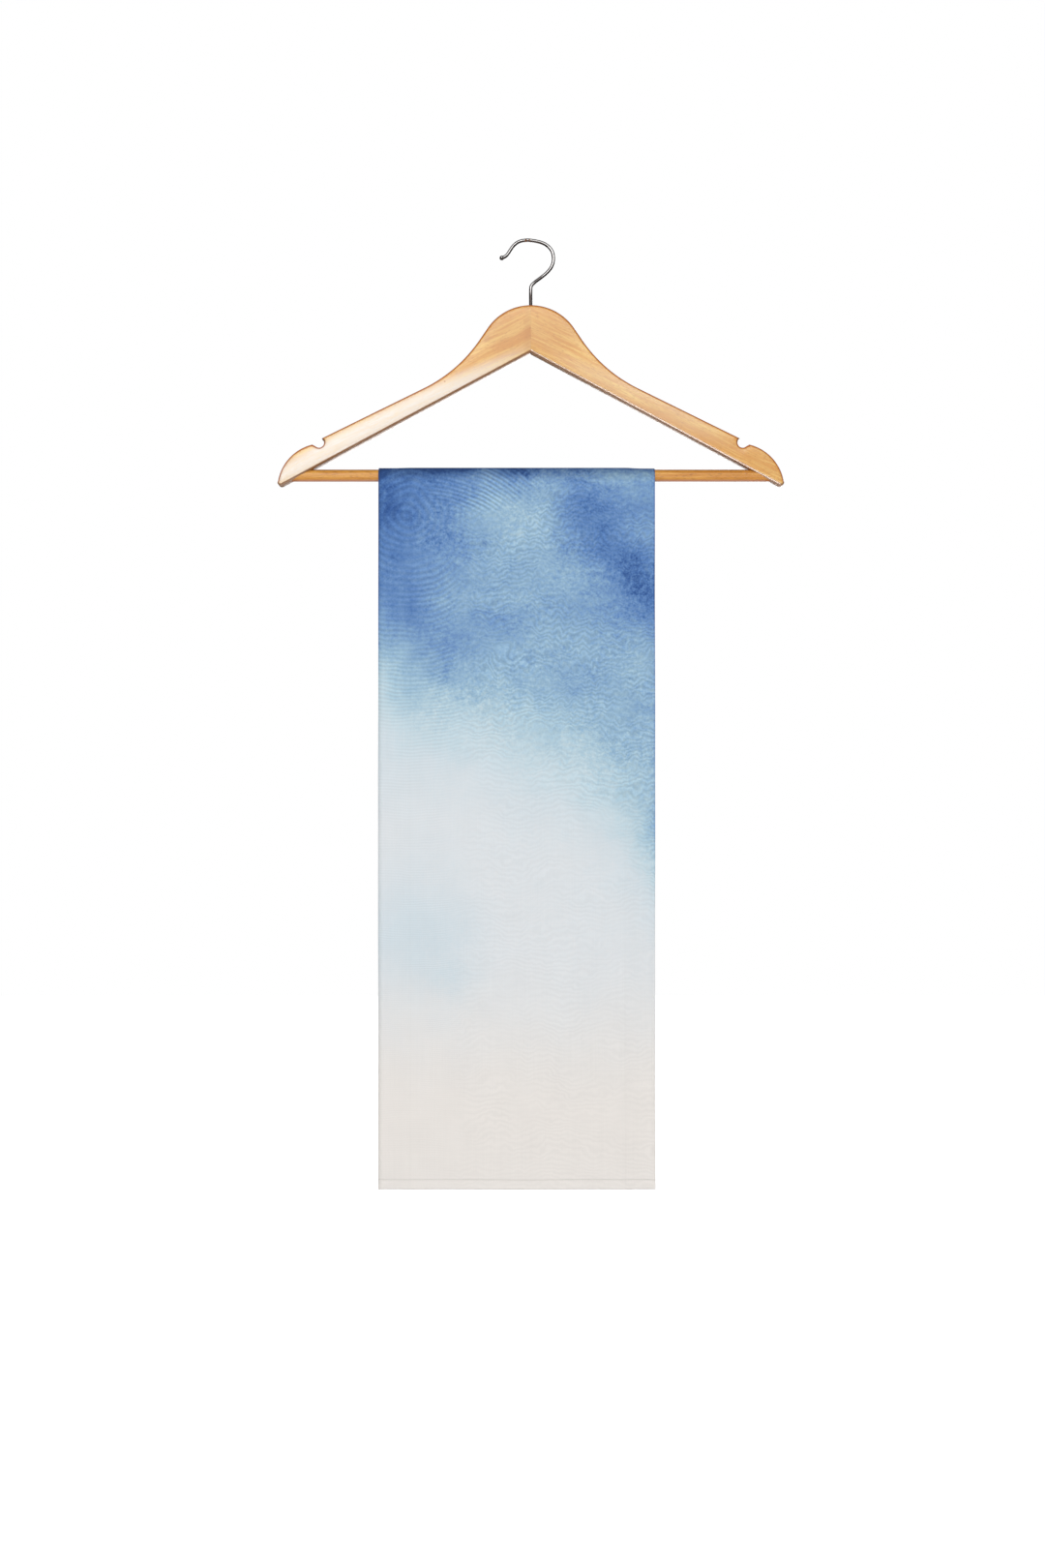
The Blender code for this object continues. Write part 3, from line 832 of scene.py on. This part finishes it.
def makeWashPrint():
    # the printed colours at a place on the flat cloth, which is given in metres
    tree, given, out = newGroup("washPrint", {"Vector": "Vector"}, {"Color": "Color"})
    place = scaled(given["Vector"], 1 / mm)
    placeAcross = parted(place)[0]
    swirled = place
    for size, reach in wash.wanders:
        swirled = swirled + strayed(place, 1 / size, 2.6 * reach, roughness=0.55)
    across, along, _ = parted(swirled)

    middle = middleAlong / mm
    height = middle - abs(along - middle)
    share = worked("DIVIDE", across, clothWidth / mm, clamp=True)
    above = height - wash.paintEdge + share ** wash.paintEdgeBend * wash.paintEdgeDrop
    low, high = wash.strengths[0][0], wash.strengths[-1][0]
    stops = [((over - low) / (high - low), (value, value, value, 1)) for over, value in wash.strengths]
    strength = colourRamp((above - low) / (high - low), stops)

    flat = swirled * (1, 1, 0)
    for one in wash.stains:
        centre, size = (one.across, one.up, 0), (one.wide, one.tall, 1)
        strength = ovalMask(flat, centre, size, 1.0) * one.strength + strength
    for side in (0.0, clothWidth / mm):
        edgeDeepening = eased(abs(placeAcross - side), 0.0, wash.edgeRun, wash.edgeStrength, 0.0)
        strength = edgeDeepening * eased(strength, 0.2, 0.5) + strength

    painted = eased(strength, 0.05, 0.55, 0.12, 1.0)
    texture = (noise(place, 1 / wash.cloudSize, 9.0, 0.66) - 0.5) * wash.clouding
    busy = eased(noise(place, 0.02, 1.0), 0.38, 0.62, *wash.busyness)
    busy = busy * eased(placeAcross, *wash.calmEdge, wash.calm, 1.0)
    for size, graining in wash.grains:
        texture = (noise(place, 1 / size, 2.0, 0.6) - 0.5) * busy * graining + texture
    strength = worked("MULTIPLY_ADD", texture, painted, strength, clamp=True)
    bare = eased(height, wash.creamEnd, wash.creamStart, 1.0, 0.0)
    bare = bare * eased(strength, 0.08, 0.3, 1.0, 0.0)
    colour = blended(bare, colourRamp(strength, wash.shades), wash.cream)
    plug(scaled(colour, watering(place, swirled, painted)), out["Color"])
    return tree


def watering(place, swirled, painted):
    # watered rings, zigzags and slanting lines, faint threads and mottling, as one factor near 1
    across = parted(place)[0]
    wander = noise(place, 0.028) * (2 * wash.ringWander)  # a slow drift of them all
    reach = distanceFrom(place, wash.ringCentre)
    near, crowding = wash.ringPitch
    waves = rippled(reach * (reach * crowding + near) + wander)

    width = wash.zigzagWidth
    swirledAcross, swirledAlong, _ = parted(swirled)
    bentAcross = noise(place, 0.03, 1.0) * wash.zigzagBend + swirledAcross
    zigzag = worked("PINGPONG", bentAcross, width) * (wash.zigzagRise / width) * painted
    zigzag = rippled(wander * 1.6 + (swirledAlong + zigzag) / wash.zigzagPitch)
    waves = crossFaded(eased(across, *wash.ringEnd), waves, zigzag)

    slant = rippled(wander * 0.4 + distanceFrom(place, wash.slantCentre) / wash.slantPitch)
    centre, size = (*wash.slantPlace, 0), (*wash.slantReach, 1)
    inside = ovalMask(place * (1, 1, 0), centre, size, 0.6)
    waves = crossFaded(inside, waves, slant * wash.slanting)

    setback = cloth.leftSetback / mm
    amount = painted * wash.watering + wash.paleWatering
    amount = amount * eased(noise(place, 0.022), 0.36, 0.62, 0.35, 1.0)
    amount = amount * eased(across, setback - 5, setback, wash.edgeWatering, 1.0)
    streaks = (noise(place * (1.1, 0.012, 1), 1.0) - 0.5) * wash.streak
    mottle = (noise(place, 0.035, 6.0, 0.6) - 0.5) * wash.mottle
    return waves * amount + 1.0 + streaks + mottle


def distanceFrom(place, centre):
    return worked("LENGTH", (place - (*centre, 0)) * (1, 1, 0))


def rippled(turns):
    return worked("SINE", turns * tau)


def crossFaded(share, first, second):
    return (second - first) * share + first


washPrint = makeWashPrint()

finish = settings(
    roughness=0.78,
    specular=0.18,
    sheen=0.06,
    crestShade=0.69,  # painted shade where it turns over the bar,
    crestRun=(8 * mm, 18 * mm),  # and plain again this far from the top
    threadsPerMetre=1700.0,
    weaveDepth=0.05 * mm,
    slubShade=0.10,
    showThrough=0.012,  # how much an inner edge darkens the ply over it
    showThroughRun=(0.3 * mm, 1.6 * mm),
    innerShade=0.86,  # painted shade on the hidden plies, seen at their edges
    hemLift=1.015,  # the turned hem is doubled, so it is a little paler
)


def makePrintedCloth(name, lift):
    constants = {"Specular IOR Level": finish.specular, "Sheen Weight": finish.sheen}
    material, sockets = newMaterial(name, {"Roughness": finish.roughness, **constants})
    tree = material.node_tree
    place = nodeWith(tree, "ShaderNodeAttribute", {}, "Vector", attribute_name="flatPlace")
    weave = useGroup(threadWeave, Vector=place, Threads=finish.threadsPerMetre)
    across, along, depth = parted(place)
    factor = (weave["Slub"] - 0.5) * finish.slubShade + lift
    # painted shade where the cloth turns over the bar's crest
    factor = factor * eased(abs(along - middleAlong), *finish.crestRun, finish.crestShade, 1.0)
    for edge in (cloth.leftSetback, clothWidth - cloth.rightSetback):
        shown = eased(abs(across - edge), *finish.showThroughRun, finish.showThrough, 0.0)
        factor = factor - shown
    # painted shade on the hidden plies
    factor = factor * eased(depth, 0.1, 0.2, 1.0, finish.innerShade)
    plug(scaled(useGroup(washPrint, Vector=place)["Color"], factor), sockets["Base Color"])
    plug(weave["Slub"] * 0.2 + (finish.roughness - 0.1), sockets["Roughness"])
    plug(bumped(weave["Height"], finish.weaveDepth, 0.6), sockets["Normal"])
    return material


printedCloth = makePrintedCloth("printedCloth", 1.0)
columns, flatWidth = clothColumns()
rows = clothRows()
plyNodes = [f"{part}_{ply}" for part in ("front", "bend", "back") for ply in ("outer_ply", "inner_plies")]
foldedCloth = addShell("foldedCloth", rows, cloth.shell, printedCloth, *plyNodes)
print(f"cloth folded over the bar, {len(columns)} columns and {len(rows)} rows")


# The hem: the cloth turned up once more along its front foot, and sewn

hem = settings(
    height=clothHigh.z - clothLow.z,
    thickness=0.42 * mm,
    rows=5,
    stitchPitch=2.5 * mm,
    stitchLength=1.9 * mm,
    stitchRadius=0.12 * mm,
    stitchInset=1.0 * mm,  # below the hem's upper edge
    stitchSink=0.8,  # its ends lie this deep, in radii,
    stitchRise=0.7,  # and its middle rises by this much
    stitchTaper=0.55,  # how thick the ends are, as a share of the middle
    stitchSides=6,
    stitchSteps=6,
    threadTones=(srgb(226, 221, 216), srgb(236, 232, 227)),
    twist=(2600, 900, 5200),  # the thread's own twist, in turns for each metre
)


def addHem():
    heights = np.linspace(0, hem.height, hem.rows + 1)
    hemRows = [row(-1, frontDrop - up, up) for up in heights]
    hemCloth = makePrintedCloth("hemCloth", finish.hemLift)
    return addShell("turnedHem", hemRows, hem.thickness, hemCloth, "front_hem")


def makeThread():
    constants = {"Roughness": 0.7, "Specular IOR Level": 0.3, "Sheen Weight": 0.2}
    material, sockets = newMaterial("hemThread", constants)
    twist = noise(coordinate(material, "Object") * hem.twist, 1.0, 1.0)
    plug(blended(twist, *hem.threadTones), sockets["Base Color"])
    plug(twist * 0.2 + 0.6, sockets["Roughness"])
    plug(bumped(twist, 0.05 * mm), sockets["Normal"])
    return material


def addHemStitches():
    # each stitch is a short bowed bead whose ends dip into the cloth
    below = frontDrop - hem.height + hem.stitchInset
    count = round(clothWidth / hem.stitchPitch)
    outward, upward = Vector((0, 1, 0)), Vector((0, 0, 1))
    shape = bmesh.new()
    for i in range(count):
        start = (i + 0.5) * clothWidth / count - hem.stitchLength / 2
        rings = []
        for share in np.linspace(0, 1, hem.stitchSteps + 1):
            rise = sin(pi * share)
            line = column(start + hem.stitchLength * share, "outer", "outer", 0.0, 0.0)
            proud = hem.thickness / 2 + hem.stitchRadius * (hem.stitchRise * rise - hem.stitchSink)
            middle = clothPoint(line, row(-1, below, frontDrop - below), proud)
            radius = hem.stitchRadius * (hem.stitchTaper + (1 - hem.stitchTaper) * rise)
            rings.append(addRing(shape, middle, outward, upward, radius, hem.stitchSides))
        closeTube(shape, rings)
    mesh = bpy.data.meshes.new("hemStitches")
    fillMesh(mesh, shape)
    return addPiece(mesh, makeThread(), "cloth")


turnedHem = addHem()
hemStitches = addHemStitches()
print("hem turned and sewn")


# Wood, for the arms and the bar

wood = settings(
    arms=settings(
        light=srgb(244, 202, 120),
        dark=srgb(222, 159, 80),
        fleck=srgb(186, 116, 54),
        # rim and side are painted shade: darker tones on the rounded rims and where the board looks down
        rim=srgb(196, 100, 34),
        side=srgb(148, 104, 66),
        coat=0.35,
        rimSpread=(0.78, 0.99),  # how squarely the surface faces front where the painted rim shade ends
    ),
    bar=settings(
        light=srgb(232, 170, 79),
        dark=srgb(208, 138, 53),
        fleck=srgb(146, 82, 36),
        # rim and side are painted shade on the bar's top and bottom edges
        rim=srgb(176, 100, 38),
        side=srgb(176, 100, 38),
        coat=0.06,  # the bar is less glossy than the arms
        rimSpread=(0.40, 0.80),
    ),
    upwardSpread=(-0.3, 0.3),  # the painted rim shade takes the darker side tone where it looks down,
    edgeOnSpread=(0.03, 0.14),  # and where it is seen edge on
    grainDepth=0.06 * mm,
    roughness=0.42,
    coatRoughness=0.2,
    bleached=srgb(246, 236, 224),  # painted sheen, standing in for a reflection, on the arms' fronts,
    hazeDepth=14.0,  # as far as this from the front face and from the arm's middle line, in mm
    hazeHeight=14.5,
)

# Where the painted sheen lies, in mm, and marks of use
paintedSheen = namedtuple("paintedSheen", "x z halfLength strength")
leftPaintedSheen = paintedSheen(-138.0, -165.8, 190.0, 1.0)
rightPaintedSheen = paintedSheen(96.0, -140.0, 112.0, 0.20)
crownMarks = [patch(side * 22, -82, 44, 30, 0.27) for side in (1, -1)]  # darker at the crown
leftMarks = [
    patch(-38.9, -86.9, 7, 4, 0.35),
    patch(-75.5, -124.4, 1.3, 1.0, 0.8),
    patch(-79.5, -121.0, 1.0, 0.8, 0.7),
    patch(-2.5, -80, 6, 38, 0.3),
]
barMarks = [
    patch(-172, -203.3, 3.2, 0.8, 0.5),
    patch(-158, -203.0, 4.0, 0.7, 0.5),
    patch(-144, -203.2, 3.0, 0.8, 0.4),
]


def makeWood(name, tones, angle, marks, grainShift, paintedSheenPlace=None):
    lacquer = {"Coat Weight": tones.coat, "Coat Roughness": wood.coatRoughness}
    material, sockets = newMaterial(name, {"Roughness": wood.roughness, **lacquer})
    place, normal = (coordinate(material, kind) for kind in ("Object", "Normal"))
    shades = {tone.capitalize(): tones[tone] for tone in ("light", "dark", "fleck")}
    grain = useGroup(woodGrain, Vector=place + grainShift, Angle=angle, **shades)
    colour = grain["Color"]
    # painted sheen: a pale oval standing in for a reflection on the arm's front
    if paintedSheenPlace:
        colour = blended(paintedSheenMask(place, angle, grain["Height"], paintedSheenPlace), colour, wood.bleached)
    # painted shade: rims that turn away from the front take the rim tone, and the side tone where they look
    # down or are seen edge on
    rim = blended(eased(parted(normal)[2], *wood.upwardSpread), tones.side, tones.rim)
    colour = blended(squareMask(normal, tones.rimSpread), rim, colour)
    colour = blended(squareMask(normal, wood.edgeOnSpread), tones.side, colour)
    for one in marks:
        colour = blended(patchMask(place, one, 0.9), colour, tones.fleck)
    plug(colour, sockets["Base Color"])
    plug(grain["Height"] * 0.25 + 0.3, sockets["Roughness"])
    plug(bumped(grain["Height"], wood.grainDepth, 0.35), sockets["Normal"])
    return material


def paintedSheenMask(place, angle, height, where):
    # painted sheen: a long pale oval on the front face, in line with the arm
    centre = Matrix.Rotation(angle, 3, "Y") @ Vector((where.x, -9.0, where.z)) * mm
    size = Vector((where.halfLength, wood.hazeDepth, wood.hazeHeight)) * mm
    oval = ovalMask(turnedAboutY(place, angle), centre, size, 0.6)
    uneven = height * (-1.2 * where.strength) + 1.05 * where.strength
    return worked("MULTIPLY", oval, uneven, clamp=True)


# The arms: one board outline, mirrored at the seam

arm = settings(
    halfThickness=7.0 * mm,
    edgeRadius=2.4 * mm,
    crownDrop=0.40 * mm,  # the faces fall by this much towards the rims,
    crownReach=9.0 * mm,  # over this distance
    seamGap=0.02 * mm,
    crownTop=-56.9 * mm,
    crownRadius=46 * mm,
    crownEnd=34.3,  # degrees above the horizontal
    neckRadius=127 * mm,
    shoulderPoint=(117.6 * mm, -141.2 * mm),
    shoulderFall=25.8,  # degrees
    undersideApex=-97.9 * mm,
    undersideFall=28.2,  # degrees
    notchCentre=(186.0 * mm, -177.6 * mm),
    notchRadius=4.4 * mm,
    notchAngles=(122, 310),
    notchLip=(192.0 * mm, -179.2 * mm),
    endCentre=(182.5 * mm, -218.3 * mm),
    endRadius=40.2 * mm,
    endAngles=(76.3, 9.6),
    tipCorner=1.6,  # degrees, where the end's arc would meet the underside
    tipRadius=2.8 * mm,
    rimSpacing=1.4 * mm,
    rings=[0.2 * mm, 0.6 * mm, 1.2 * mm, 1.8 * mm, 2.4 * mm, 3.4 * mm, 5.0 * mm, 7.0 * mm],
    gridSpacing=4.0 * mm,
    grainFall=27.0,  # degrees
)


def arc(centre, radius, start, end):
    # points on a circle, with the angles in degrees
    steps = max(ceil(radians(abs(end - start)) * radius / arm.rimSpacing), 8)
    angles = [radians(start + (end - start) * i / steps) for i in range(steps + 1)]
    return [Vector((centre[0] + radius * cos(a), centre[1] + radius * sin(a))) for a in angles]


def falling(degrees):
    return Vector((cos(radians(degrees)), -sin(radians(degrees))))


def crossing(pointA, directionA, pointB, directionB):
    share = (pointB - pointA).cross(directionB) / directionA.cross(directionB)
    return pointA + directionA * share


def roundedCorner(corner, directionIn, directionOut, radius):
    # an arc that touches both of the lines that meet at a corner
    halfTurn = directionIn.angle(directionOut) / 2
    first = corner - directionIn * radius * tan(halfTurn)
    centre = corner + (directionOut - directionIn).normalized() * (radius / cos(halfTurn))
    side = copysign(1, directionIn.cross(directionOut))
    steps = max(ceil(2 * halfTurn * radius / arm.rimSpacing), 6)
    turns = [Matrix.Rotation(side * 2 * halfTurn * i / steps, 2) for i in range(steps + 1)]
    return [centre + turn @ (first - centre) for turn in turns]


def armRim():
    # the right arm's rim from the seam over the crown to the tip and back underneath
    crownCentre = (0.0, arm.crownTop - arm.crownRadius)
    crown = arc(crownCentre, arm.crownRadius, 90, arm.crownEnd)
    crown[0] = Vector((arm.seamGap, arm.crownTop))
    neckDirection = falling(90 - arm.crownEnd)
    shoulderDirection = falling(arm.shoulderFall)
    neckCorner = crossing(crown[-1], neckDirection, Vector(arm.shoulderPoint), shoulderDirection)
    neck = roundedCorner(neckCorner, neckDirection, shoulderDirection, arm.neckRadius)
    notch = arc(arm.notchCentre, arm.notchRadius, *arm.notchAngles)
    end = arc(arm.endCentre, arm.endRadius, *arm.endAngles)
    tipCorner = arc(arm.endCentre, arm.endRadius, arm.tipCorner, arm.tipCorner)[0]
    tipDirections = falling(90 - arm.tipCorner), -falling(arm.undersideFall)
    tip = roundedCorner(tipCorner, *tipDirections, arm.tipRadius)
    apex = Vector((arm.seamGap, arm.undersideApex))
    return spaced([*crown, *neck, *notch, Vector(arm.notchLip), *end, *tip, apex])


def spaced(points):
    # the same line with more points on its straight runs
    line = [points[0]]
    for start, end in zip(points, points[1:]):
        steps = max(ceil((end - start).length / (1.5 * arm.rimSpacing)), 1)
        line += [start.lerp(end, i / steps) for i in range(1, steps + 1)]
    return line


def seamPoints():
    # down the seam from the crown to the apex, without its ends
    top, bottom = arm.crownTop, arm.undersideApex
    slope = cos(radians(arm.undersideFall))
    near = [top - ring for ring in arm.rings]
    far = [bottom + ring / slope for ring in reversed(arm.rings)]
    steps = ceil((near[-1] - far[0]) / arm.gridSpacing)
    between = [near[-1] + (far[0] - near[-1]) * i / steps for i in range(1, steps)]
    return [Vector((arm.seamGap, z)) for z in [*near, *between, *far]]


def distanceToLine(points, line):
    # how far each point is from a line of points
    points, start, end = points[:, None], line[None, :-1], line[None, 1:]
    run = end - start
    share = ((points - start) * run).sum(2) / (run * run).sum(2)
    nearest = start + run * np.clip(share, 0, 1)[..., None]
    return np.linalg.norm(points - nearest, axis=2).min(1)


def insideLoop(points, loop):
    # counts how often a line to the right of each point crosses the loop
    x, z = points[:, 0, None], points[:, 1, None]
    start, end = loop, np.roll(loop, -1, axis=0)
    straddles = (start[:, 1] > z) != (end[:, 1] > z)
    rise = np.where(end[:, 1] == start[:, 1], 1.0, end[:, 1] - start[:, 1])
    crossAt = start[:, 0] + (end[:, 0] - start[:, 0]) * (z - start[:, 1]) / rise
    return (straddles & (x < crossAt)).sum(1) % 2 == 1


def armInnerPoints(rim, loop):
    # rings that follow the rim, and a grid inside them
    steps = np.gradient(rim, axis=0)
    inward = np.stack([steps[:, 1], -steps[:, 0]], 1) / np.linalg.norm(steps, axis=1)[:, None]
    found = []
    for ring in arm.rings:
        every = 1 if ring < 3 * mm else 2
        points = (rim + inward * ring)[::every]
        found.append(points[distanceToLine(points, rim) > 0.93 * ring])
    low, high, step = rim.min(0), rim.max(0), arm.gridSpacing
    across, up = np.meshgrid(np.arange(low[0], high[0], step), np.arange(low[1], high[1], step))
    grid = np.stack([across.ravel(), up.ravel()], 1)
    found.append(grid[distanceToLine(grid, rim) > arm.rings[-1] + 0.4 * step])
    points = np.concatenate(found)
    points = points[insideLoop(points, loop)]
    return points[points[:, 0] > arm.seamGap + 0.5 * mm]


def halfThicknessAt(distance):
    # the board's half thickness at a distance from its rim: rounded, then gently crowned
    crown = arm.crownDrop * (1 - np.minimum(distance / arm.crownReach, 1)) ** 2
    radius = arm.edgeRadius
    inset = radius - np.minimum(distance, radius)
    return arm.halfThickness - crown - radius + np.sqrt(radius**2 - inset**2)


def addArm(name, side, node, material):
    rim = armRim()
    seam = list(reversed(seamPoints()))
    rimLine = np.array(rim)
    loop = np.array([*rim, *seam])
    points = np.concatenate([loop, armInnerPoints(rimLine, loop)])
    edges = [(i, (i + 1) % len(loop)) for i in range(len(loop))]
    inside = 1  # keep the triangles inside the outline
    flatPoints, _, triangles, sources, _, _ = delaunay_2d_cdt(
        [Vector(point) for point in points], edges, [], inside, 0.001 * mm
    )
    places = np.array(flatPoints)
    half = halfThicknessAt(distanceToLine(places, rimLine))
    count = len(places)
    front = [(side * x, -y, z) for (x, z), y in zip(places, half)]
    back = [(side * x, y, z) for (x, z), y in zip(places, half)]
    faces = [tuple(face) for face in triangles]
    faces += [tuple(count + i for i in reversed(face)) for face in triangles]
    found = {source: i for i, given in enumerate(sources) for source in given}
    outline = [found[i] for i in range(len(loop))]
    faces += [(i, j, count + j, count + i) for i, j in zip(outline, outline[1:] + outline[:1])]
    mesh = bpy.data.meshes.new(name)
    mesh.from_pydata(front + back, [], faces)
    shape = bmesh.new()
    shape.from_mesh(mesh)
    loose = [vert for vert in shape.verts if not vert.link_faces]
    bmesh.ops.delete(shape, geom=loose, context="VERTS")
    fillMesh(mesh, shape, 50)
    addPiece(mesh, material, "arms_wood", node)


def linkGlints():
    # a softbox that names a piece shows in the gloss of that piece alone
    for box in softboxes:
        if box.glossOf:
            shownIn = bpy.data.collections.new(f"{box.name}ShownIn")
            shownIn.objects.link(bpy.data.objects[box.glossOf])
            bpy.data.objects[box.name].light_linking.receiver_collection = shownIn


grainFall = radians(arm.grainFall)
armTones = wood.arms
rightWood = makeWood("rightArmWood", armTones, -grainFall, crownMarks, (0.3, 0, 0), rightPaintedSheen)
leftWood = makeWood("leftArmWood", armTones, grainFall, [*crownMarks, *leftMarks], (-0.7, 0, 0.2), leftPaintedSheen)
addArm("armRight", 1, "arm_right", rightWood)
addArm("armLeft", -1, "arm_left", leftWood)
linkGlints()
print("arms shaped")


# Tubes: the bar and the hook


def addTube(name, route, radii, sides, sharpAngle, material, slot, node):
    # a closed tube along a route that lies in the XZ plane
    shape = bmesh.new()
    rings = []
    for i, (point, radius) in enumerate(zip(route, radii)):
        along = (route[min(i + 1, len(route) - 1)] - route[max(i - 1, 0)]).normalized()
        middle, outward = Vector((point.x, 0, point.y)), Vector((-along.y, 0, along.x))
        rings.append(addRing(shape, middle, outward, Vector((0, 1, 0)), radius, sides))
    closeTube(shape, rings)
    mesh = bpy.data.meshes.new(name)
    fillMesh(mesh, shape, sharpAngle)
    addPiece(mesh, material, slot, node)


bar = settings(
    endBevel=0.4 * mm,
    sides=64,
    stations=60,
    turningMarks=0.03 * mm,  # a turned bar is never quite even
)


def addBar():
    half, bevel = barHigh.x, bar.endBevel
    steps = bar.stations
    inner = np.linspace(bevel - half, half - bevel, steps + 1)
    route = [Vector((x, barHeight)) for x in [-half, *inner, half]]
    marks = [bar.turningMarks * (1 + sin(i * 1.9)) / 2 for i in range(steps + 1)]
    radii = [barRadius - bevel, *[barRadius - mark for mark in marks], barRadius - bevel]
    barWood = makeWood("barWood", wood.bar, 0.0, barMarks, (0.1, 0.05, 0.4))
    addTube("trouserBar", route, radii, bar.sides, 50, barWood, "bar_wood", "trouser_bar")


addBar()
print("bar turned")

hook = settings(
    wireRadius=1.5 * mm,
    ballRadius=2.05 * mm,
    sides=28,
    steps=8,
    ballSteps=10,
    ballEnd=0.06,  # the angle where the ball's far end is closed, in radians
    plating=(srgb(158, 155, 154), srgb(184, 181, 179)),
    smoky=srgb(66, 58, 55),  # painted dark reflection at the wire's sides and on its dull patches
    squareSpread=(0.92, 0.995),  # how squarely the wire faces front where its painted highlight is brightest
    # the dull patches are painted dark reflection, on the shank and where it starts to curve
    dullPatches=(patch(0, -54, 4, 14, 1.0), patch(6, -33, 7, 6, 0.8)),
    rubbed=srgb(104, 66, 38),
    rubbedBands=(patch(-4.3, 1.5, 0.8, 5, 1.0), patch(-1.2, 1.5, 0.6, 5, 1.0)),  # by the rail
)

# The middle of the wire from the shank's foot to the tip, in mm: across and up
hookRoute = [
    (0.0, -98.2),
    (0.0, -60.0),
    (0.0, -42.5),
    (0.8, -38.3),
    (4.2, -34.9),
    (9.4, -31.0),
    (14.7, -26.5),
    (18.6, -21.2),
    (20.0, -15.0),
    (18.9, -8.6),
    (15.0, -3.5),
    (9.0, -0.3),
    (0.0, 1.5),
    (-5.5, 1.5),
    (-10.7, 0.2),
    (-15.0, -3.0),
    (-18.1, -7.2),
    (-20.6, -11.0),
    (-23.0, -13.0),
    (-25.5, -14.0),
]


def smoothRoute(points, steps):
    # a smooth curve that passes through each given point
    route = [Vector(point) * mm for point in points]
    ends = [2 * route[0] - route[1], *route, 2 * route[-1] - route[-2]]
    smooth = []
    for before, start, end, after in zip(ends, ends[1:], ends[2:], ends[3:]):
        for i in range(steps):
            t = i / steps
            linear = (end - before) * (0.5 * t)
            square = (2 * before - 5 * start + 4 * end - after) * (0.5 * t * t)
            cube = (3 * start - before - 3 * end + after) * (0.5 * t * t * t)
            smooth.append(start + linear + square + cube)
    return [*smooth, route[-1]]


def makeChrome():
    material, sockets = newMaterial("chromeWire", {"Roughness": 0.14, "Metallic": 1.0})
    place = coordinate(material, "Object")
    ragged = place + strayed(place, 900.0, 2 * mm)
    rubbed = 0.0
    for one in hook.rubbedBands:
        rubbed = worked("MAXIMUM", patchMask(ragged, one, 0.5), rubbed)
    cloudy = noise(place, 260.0, 3.0)
    # painted reflection: bright plating where the wire faces front, a dark tone at its sides and on the
    # dull patches
    paintedHighlight = squareMask(coordinate(material, "Normal"), hook.squareSpread)
    for one in hook.dullPatches:
        paintedHighlight = paintedHighlight * (1.0 - patchMask(place, one, 0.6))
    plating = blended(paintedHighlight, hook.smoky, blended(cloudy, *hook.plating))
    plug(blended(rubbed, plating, hook.rubbed), sockets["Base Color"])
    plug(rubbed * 0.25 + cloudy * 0.10 + 0.07, sockets["Roughness"])
    plug(bumped(noise(place, 300.0), 0.01 * mm, 0.2), sockets["Normal"])
    return material


def addHook():
    # the wire, thickening into the ball at its tip
    wire, ball = hook.wireRadius, hook.ballRadius
    route = smoothRoute(hookRoute, hook.steps)
    end, direction = route[-1], (route[-1] - route[-2]).normalized()
    neck = sqrt(ball**2 - wire**2)
    route = [point for point in route if (point - end).length > neck + 0.2 * mm]
    radii = [wire] * len(route)
    steps = hook.ballSteps
    start = acos(-neck / ball)
    for i in range(steps + 1):
        angle = start + (hook.ballEnd - start) * i / steps
        route.append(end + direction * ball * cos(angle))
        radii.append(ball * sin(angle))
    addTube("hookWire", route, radii, hook.sides, 60, makeChrome(), "hook_wire", "hook")


addHook()
print("hook bent")
